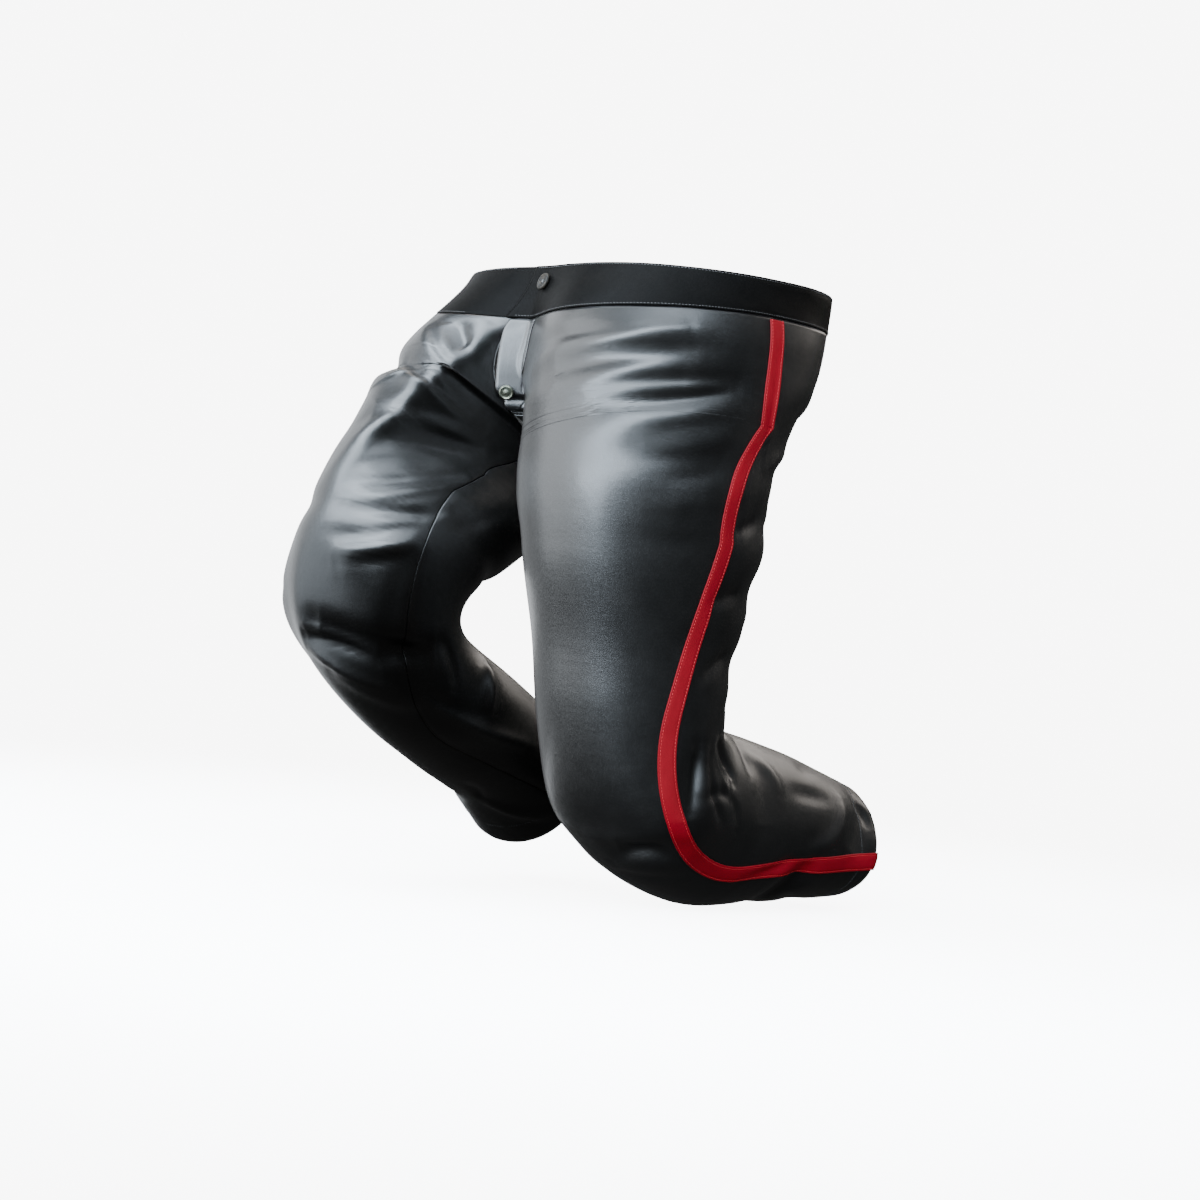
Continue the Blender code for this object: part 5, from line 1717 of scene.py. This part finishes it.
@dataclass
class Stitching:
    """Rows of lockstitch, each stitch a short oval of thread."""

    pitch: float = 0.0031
    length: float = 0.0025
    radius: float = 0.00034
    seed: int = 3
    lean: float = 0.10

    def __post_init__(self) -> None:
        """Build the geometry nodes tree."""
        self.tree = bpy.data.node_groups.new("row of stitches", "GeometryNodeTree")
        self.add_socket("Geometry", "Geometry", "OUTPUT")
        kinds = {
            "Geometry": "Geometry", "Pitch": "Float", "Length": "Float", "Radius": "Float",
            "Seed": "Int", "Thread": "Material",
        }
        self.sockets = {name: self.add_socket(name, kind) for name, kind in kinds.items()}
        graph = Graph(self.tree)
        inside = self.tree.nodes.new("NodeGroupInput")
        given = {socket.name: Socket(graph, socket) for socket in inside.outputs if socket.name}
        curve = graph.node("GeometryNodeMeshToCurve", {"Mesh": given["Geometry"]})
        spaced = {"Curve": curve, "Length": given["Pitch"]}
        spaced = graph.node("GeometryNodeResampleCurve", spaced, mode="LENGTH")
        ball = graph.node("GeometryNodeMeshUVSphere", {"Segments": 6, "Rings": 4, "Radius": 1.0})
        size = {"X": given["Radius"], "Y": given["Radius"], "Z": given["Length"] * 0.5}
        size = graph.node("ShaderNodeCombineXYZ", size)
        oval = graph.node("GeometryNodeTransform", {"Geometry": ball, "Scale": size})
        tangent = graph.node("GeometryNodeInputTangent", {})
        lean = {"Min": (-self.lean,) * 3, "Max": (self.lean,) * 3, "Seed": given["Seed"]}
        lean = graph.node("FunctionNodeRandomValue", lean, data_type="FLOAT_VECTOR")
        heading = graph.node("ShaderNodeVectorMath", {0: tangent, 1: lean}, operation="ADD")
        turned = graph.node("FunctionNodeAlignRotationToVector", {"Vector": heading}, axis="Z")
        placed = {"Points": spaced, "Instance": oval, "Rotation": turned}
        placed = graph.node("GeometryNodeInstanceOnPoints", placed)
        real = graph.node("GeometryNodeRealizeInstances", {"Geometry": placed})
        dressed = {"Geometry": real, "Material": given["Thread"]}
        dressed = graph.node("GeometryNodeSetMaterial", dressed)
        graph.node("NodeGroupOutput", {"Geometry": dressed})

    def add_socket(self, name: str, kind: str, way: str = "INPUT") -> str:
        """Add a socket to the tree's own interface, and return its identifier."""
        face = self.tree.interface
        return face.new_socket(name, in_out=way, socket_type=f"NodeSocket{kind}").identifier

    def sew(
        self, name: str, paths: list[np.ndarray], thread: bpy.types.Material
    ) -> bpy.types.Object:
        """Lay stitches along paths.

        Args:
            name: The new piece's name.
            paths: Points along each row, on the leather.
            thread: The thread's material.

        Returns:
            The stitches as one plain mesh.
        """
        starts = np.cumsum([0] + [len(path) for path in paths])
        edges = [(k, k + 1) for i, j in zip(starts, starts[1:]) for k in range(i, j - 1)]
        route = bpy.data.meshes.new(name + " route")
        route.from_pydata(np.concatenate(paths).tolist(), edges, [])
        piece = linked(name, route)
        modifier = piece.modifiers.new("stitches", "NODES")
        modifier.node_group = self.tree
        values = {
            "Pitch": self.pitch, "Length": self.length, "Radius": self.radius, "Seed": self.seed,
            "Thread": thread,
        }
        for socket, value in values.items():
            modifier[self.sockets[socket]] = value
        mesh = apply_modifiers(piece)
        mesh.name = name
        mesh.shade_smooth()
        bpy.data.meshes.remove(route)
        return piece


# ---------------------------------------------------------------- fastenings


@dataclass
class Fastening:
    """A turned piece that sits where a round CAD piece does.

    The profile is (radius, height) from the middle of the back, round, to the middle of the face,
    as shares of the CAD piece's own.
    """

    node: str
    profile: tuple[tuple[float, float], ...]
    segments: int
    radius_share: float = 0.99
    sharp_angle: float = 42.0

    def __post_init__(self) -> None:
        """Find the middle of the CAD piece's back, its axis and its size."""
        mesh = frame["nodes"][self.node].data
        points = np.empty(3 * len(mesh.vertices), np.float32)
        mesh.vertices.foreach_get("co", points)
        points = points.reshape(-1, 3).astype(float)
        middle = (points.min(axis=0) + points.max(axis=0)) / 2
        axis = np.linalg.svd(points - points.mean(axis=0), full_matrices=False)[2][2]
        axis = axis * np.sign(axis @ (middle * (1, 1, 0)))
        heights = (points - middle) @ axis
        self.height = float(heights.max() - heights.min())
        off_axis = (points - middle) - heights[:, None] * axis
        self.radius = float(np.linalg.norm(off_axis, axis=1).max()) * self.radius_share
        across = unit(np.cross(UP, axis))
        made = np.eye(4)
        made[:3, :3] = np.stack((across, np.cross(axis, across), axis), axis=1)
        made[:3, 3] = middle + heights.min() * axis
        self.place = Matrix(made.tolist())

    def turned(self, name: str) -> bpy.types.Object:
        """The turned body, its back on z = 0."""
        shape, rings = bmesh.new(), []
        turns = np.linspace(0, 2 * np.pi, self.segments, endpoint=False)
        for radius, height in self.profile:
            r, h = radius * self.radius, height * self.height
            spots = [(r * np.cos(t), r * np.sin(t), h) for t in (turns if r else turns[:1])]
            rings.append([shape.verts.new(spot) for spot in spots])
        loft(shape, rings)
        mesh = mesh_from(name, shape)
        mesh.shade_smooth()
        mesh.set_sharp_from_angle(angle=np.radians(self.sharp_angle))
        return linked(name, mesh)


@dataclass
class WaistButton(Fastening):
    """A turned horn button with four holes, sewn on with crossed thread."""

    node: str = "waist_button"
    profile: tuple[tuple[float, float], ...] = (
        (0, 0), (0.80, 0), (0.95, 0.14), (1, 0.40), (0.985, 0.72), (0.93, 0.93), (0.85, 1),
        (0.76, 0.94), (0.68, 0.72), (0.58, 0.60), (0.30, 0.56), (0, 0.55),
    )
    segments: int = 48
    hole_ring: float = 0.0021
    hole_radius: float = 0.0008
    hole_sides: int = 14
    face: float = 0.58
    thread_radius: float = 0.00035
    thread_apart: float = 0.00042
    thread_arch: float = 1.6
    thread_dip: float = 0.0012
    thread_steps: int = 10
    thread_sides: int = 6

    def build(self, finishes: Finishes) -> list[bpy.types.Object]:
        """Make the button and its thread."""
        body = self.turned("horn_button")
        drill = linked("drill", self.holes())
        cut = body.modifiers.new("holes", "BOOLEAN")
        cut.object = drill
        cut.operation = "DIFFERENCE"
        mesh = apply_modifiers(body)
        bpy.data.objects.remove(drill, do_unlink=True)
        mesh.materials.clear()
        mesh.materials.append(finishes.horn)
        mesh.transform(self.place)
        thread = linked("button_thread", self.thread())
        thread.data.materials.append(finishes.thread)
        return [body, thread]

    def holes(self) -> bpy.types.Mesh:
        """The four drills."""
        shape, ring, radius = bmesh.new(), self.hole_ring, self.hole_radius
        for turn in np.radians((45, 135, 225, 315)):
            place = Matrix.Translation((ring * np.cos(turn), ring * np.sin(turn), 0))
            bmesh.ops.create_cone(
                shape, cap_ends=True, segments=self.hole_sides, radius1=radius, radius2=radius,
                depth=self.height * 4, matrix=place,
            )
        return mesh_from("drill", shape)

    def thread(self) -> bpy.types.Mesh:
        """Crossed threads from hole to hole."""
        shape = bmesh.new()
        for turn in np.radians((45, 135)):
            for offset in (-self.thread_apart, 0.0, self.thread_apart):
                steps = range(self.thread_steps + 1)
                loft(shape, [self.thread_ring(shape, turn, offset, k) for k in steps])
        mesh = mesh_from("button_thread", shape)
        mesh.transform(self.place)
        mesh.shade_smooth()
        return mesh

    def thread_ring(
        self, shape: bmesh.types.BMesh, turn: float, offset: float, step: int
    ) -> list[bmesh.types.BMVert]:
        """One ring of a strand that arches between two opposite holes.

        Args:
            shape: The shape to add to.
            turn: The strand's heading, in radians.
            offset: How far to one side the strand lies.
            step: The ring's number along the strand.

        Returns:
            The ring's points.
        """
        along = np.array((np.cos(turn), np.sin(turn), 0.0))
        beside = np.array((-along[1], along[0], 0.0))
        share, radius = step / self.thread_steps * 2 - 1, self.thread_radius
        arch = radius * self.thread_arch * (1 - share**4) - self.thread_dip * share**8
        rise = self.height * self.face + arch
        centre = along * share * self.hole_ring + beside * offset + UP * rise
        turns = np.linspace(0, 2 * np.pi, self.thread_sides, endpoint=False)
        return [
            shape.verts.new(centre + radius * (np.cos(t) * beside + np.sin(t) * UP)) for t in turns
        ]


@dataclass
class FlyStud(Fastening):
    """A pressed brass stud: a raised ring round a low dome."""

    node: str = "fly_stud"
    profile: tuple[tuple[float, float], ...] = (
        (0, 0), (0.93, 0), (1, 0.16), (0.985, 0.36), (0.92, 0.56), (0.82, 0.66), (0.72, 0.58),
        (0.66, 0.34), (0.60, 0.24), (0.53, 0.26), (0.48, 0.42), (0.38, 0.66), (0.24, 0.84),
        (0.11, 0.93), (0, 0.95),
    )
    segments: int = 56

    def build(self, finishes: Finishes) -> bpy.types.Object:
        """Make the stud."""
        piece = self.turned("brass_stud")
        piece.data.transform(self.place)
        piece.data.materials.append(finishes.brass)
        return piece


# ---------------------------------------------------------------- the whole pair


@dataclass
class Trousers:
    """The trousers, piece by piece."""

    def __post_init__(self) -> None:
        """Lay the figure, its skins and the finishes."""
        self.figure = Figure()
        self.band_shape = BandShape()
        self.finishes = Finishes()
        self.stitching = Stitching()
        skins = {side: Skin(self.figure, side, self.band_shape) for side in Side}
        self.panels = {(side, part): Panel(skins[side], part) for side in Side for part in Part}

    def register(
        self, piece: bpy.types.Object, node: str | None = None
    ) -> bpy.types.Object:
        """Attach a finished piece to the body that it rides on, and hide the node that it stands
        for.
        """
        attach(piece, BODY)
        if node:
            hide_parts(node)
        log.info("%s: %d faces", piece.name, len(piece.data.polygons))
        return piece

    def lay(
        self, sheet: Sheet, outside: bpy.types.Material, inside: bpy.types.Material,
    ) -> None:
        """Build a sheet and register it.

        Args:
            sheet: The piece's grid.
            outside: The finish of the face side.
            inside: The finish of the flesh side.
        """
        node = sheet.name
        sheet.name = f"{node}_leather"
        piece = self.register(sheet.build(outside, inside), node)
        width, length = sheet.flat_size()
        min(sheet.area(), width * length)

    def sew(
        self, name: str, paths: list[np.ndarray], thread: bpy.types.Material,
        slot: str = "black_leather",
    ) -> bpy.types.Object:
        """Lay stitches along paths and register them."""
        return self.register(self.stitching.sew(name, paths, thread))

    def build(self) -> None:
        """Make every piece in the order that it is sewn."""
        f = self.finishes
        for panel in self.panels.values():
            self.lay(panel.sheet(), f.black, f.flesh)
        for side in Side:
            stripe = Stripe(self.panels[side, Part.FRONT], self.panels[side, Part.BACK])
            paths, below = stripe.stitch_paths(), [stripe.front.name, stripe.back.name]
            name = f"stripe_stitches_{side.name.lower()}"
            stitches = self.sew(name, paths, f.red_thread, "red_leather")
            self.lay(stripe.sheet(), f.red, f.red_flesh)
        facing = FlyFacing(self.panels[Side.LEFT, Part.FRONT])
        stitches = self.sew("fly_stitches", facing.stitch_paths(), f.thread)
        self.lay(facing.sheet(), f.black, f.flesh)
        band = Waistband(self.figure, self.band_shape)
        stitches = self.sew("band_stitches", band.stitch_paths(), f.thread)
        # The band takes the darker copy of the leather, whose darker colour is painted shade.
        self.lay(band.sheet(), f.matt_painted_shade, f.flesh)
        for side in Side:
            paths = [self.panels[side, part].hem_path() for part in Part]
            self.sew(f"hem_stitches_{side.name.lower()}", paths, f.thread)
        button, thread = WaistButton().build(f)
        self.register(button, "waist_button")
        self.register(thread)
        self.register(FlyStud().build(f), "fly_stud")


# ---------------------------------------------------------------- studio


@dataclass(frozen=True)
class SoftLight:
    """A soft rectangular light, placed by its direction from the trousers.

    It turns from the camera's direction, in degrees, and lights the pieces of one leg's side only
    where `spares` names the other side.
    """

    name: str
    turn: float
    height: float
    distance: float
    size: tuple[float, float]
    radiance: float
    colour: tuple[float, float, float]
    spares: str = ""
    roll: float = 0.0
    glossy: bool = True


@dataclass
class Studio:
    """A pale floor, soft lights and the camera."""

    azimuth: float = 56.0
    distance: float = 2.6
    sideways: float = 0.023
    camera_height: float = -0.305
    roll: float = 6.0
    lens: float = 81.0
    floor_height: float = -0.5875
    floor_radius: float = 1.7
    floor_glow: float = 8.0
    floor_fade: tuple[float, float] = (0.35, 0.97)
    backdrop: Colour = grey(8.0)
    shade: Colour = grey(0.05)
    aim: tuple[float, float, float] = (0.0, 0.0, -0.30)
    lights: tuple[SoftLight, ...] = (
        SoftLight("side", -135, 4, 2.6, (2.8, 3.0), 2.0, (0.92, 0.96, 1.0)),
        SoftLight("wing", -126, 5, 2.6, (2.4, 3.0), 1.0, (0.92, 0.96, 1.0), "right"),
        SoftLight("window", -70, 12, 2.4, (2.8, 3.0), 6.5, (0.90, 0.95, 1.0), "right"),
        SoftLight("strip", -22, 14, 2.6, (1.2, 3.2), 24.0, (0.76, 0.88, 1.0), "right", 40.0),
        SoftLight("high", 20, 40, 2.4, (1.3, 1.2), 13.0, (0.76, 0.88, 1.0), "right"),
        SoftLight("far window", -82, 10, 2.6, (2.0, 3.0), 3.2, (0.80, 0.90, 1.0), "left"),
        SoftLight("overhead", -58, 50, 2.4, (2.4, 2.2), 15.0, (0.78, 0.89, 1.0), "left"),
        SoftLight("top", -40, 80, 2.2, (2.4, 1.8), 6.0, (0.78, 0.89, 1.0)),
        SoftLight("behind", 155, 42, 2.6, (3.4, 2.2), 3.0, (1.0, 0.93, 0.86)),
        SoftLight("fill", 105, 20, 3.0, (2.6, 2.2), 0.15, (1.0, 0.94, 0.88)),
        SoftLight("bounce", 45, -10, 3.0, (3.0, 2.4), 2.8, (1.0, 0.98, 0.98), glossy=False),
    )

    def __post_init__(self) -> None:
        """Set the camera, the backdrop, the floor and the lights up."""
        turn = np.radians(self.azimuth)
        self.forward = np.array((-np.sin(turn), np.cos(turn), 0.0))
        self.right = np.array((np.cos(turn), np.sin(turn), 0.0))
        self.lit: dict[str, bpy.types.Collection] = {}
        self.add_camera()
        self.add_world()
        self.add_floor()
        for light in self.lights:
            self.add_light(light)

    def add_camera(self) -> None:
        """Place the camera and make it the scene's."""
        forward, right, roll = self.forward, self.right, np.radians(self.roll)
        place = self.camera_height * UP - self.sideways * right - self.distance * forward
        tilted_right = np.cos(roll) * right + np.sin(roll) * UP
        tilted_up = -np.sin(roll) * right + np.cos(roll) * UP
        data = bpy.data.cameras.new("camera")
        data.lens = self.lens
        data.clip_start = 0.05
        camera = linked("camera", data)
        turned = Matrix(np.stack((tilted_right, tilted_up, -forward), axis=1).tolist())
        camera.matrix_world = Matrix.Translation(place.tolist()) @ turned.to_4x4()
        bpy.context.scene.camera = camera

    def add_light(self, light: SoftLight) -> None:
        """Place one light, facing the trousers."""
        turn, height = np.radians(light.turn), np.radians(light.height)
        level = -np.cos(turn) * self.forward + np.sin(turn) * self.right
        away = Vector(np.cos(height) * level + np.sin(height) * UP)
        data = bpy.data.lights.new(light.name, "AREA")
        data.shape = "RECTANGLE"
        data.size, data.size_y = light.size
        data.energy = light.radiance * np.pi * light.size[0] * light.size[1]
        data.color = light.colour
        lamp = linked(light.name, data)
        facing = away.to_track_quat("Z", "Y").to_matrix().to_4x4()
        facing = facing @ Matrix.Rotation(np.radians(-light.roll), 4, "Z")
        lamp.matrix_world = Matrix.Translation(Vector(self.aim) + light.distance * away) @ facing
        lamp.visible_camera = False
        lamp.visible_glossy = light.glossy
        if light.spares:
            if light.spares not in self.lit:
                self.lit[light.spares] = bpy.data.collections.new(f"all but the {light.spares}")
            lamp.light_linking.receiver_collection = self.lit[light.spares]
            lamp.light_linking.blocker_collection = self.lit[light.spares]

    def flag(self) -> None:
        """Keep each flagged light off the pieces whose names hold the word that it spares."""
        for spared, lit in self.lit.items():
            for piece in bpy.context.scene.objects:
                if piece.type == "MESH" and spared not in piece.name:
                    lit.objects.link(piece)

    def add_world(self) -> None:
        """A pale backdrop, with a dim room round it for the reflections."""
        world = bpy.data.worlds.new("studio")
        bpy.context.scene.world = world
        world.use_nodes = True
        graph = Graph(world.node_tree)
        seen = graph.node("ShaderNodeLightPath", {}, "Is Camera Ray")
        colour = graph.mix(seen, self.shade, self.backdrop)
        shader = graph.node("ShaderNodeBackground", {"Color": colour})
        graph.node("ShaderNodeOutputWorld", {"Surface": shader})

    def add_floor(self) -> None:
        """A pale round floor that fades into the backdrop."""
        shape = bmesh.new()
        bmesh.ops.create_circle(shape, cap_ends=True, segments=96, radius=self.floor_radius)
        mesh = mesh_from("floor", shape)
        mesh.transform(Matrix.Translation((0, 0, self.floor_height)))
        s = Surface("pale floor")
        level = {0: s.object_place, 1: (1, 1, 0)}
        level = s.node("ShaderNodeVectorMath", level, operation="MULTIPLY")
        reach = s.node("ShaderNodeVectorMath", {0: level}, "Value", operation="LENGTH")
        tone = s.mix(s.noise(3.0, 2.0), grey(0.78), grey(0.82))
        fade = reach.between(*(share * self.floor_radius for share in self.floor_fade))
        mesh.materials.append(s.finish({
            "Base Color": tone, "Roughness": 0.8, "Emission Color": tone,
            "Emission Strength": self.floor_glow, "Alpha": 1 - fade,
        }))
        floor = linked("floor", mesh)
        floor.visible_glossy = floor.visible_diffuse = floor.visible_shadow = False


def main() -> None:
    """Build the studio and the trousers."""
    logging.basicConfig(level=logging.INFO, format="%(name)s: %(message)s")
    studio = Studio()
    Trousers().build()
    studio.flag()


if __name__ == "__main__":
    main()
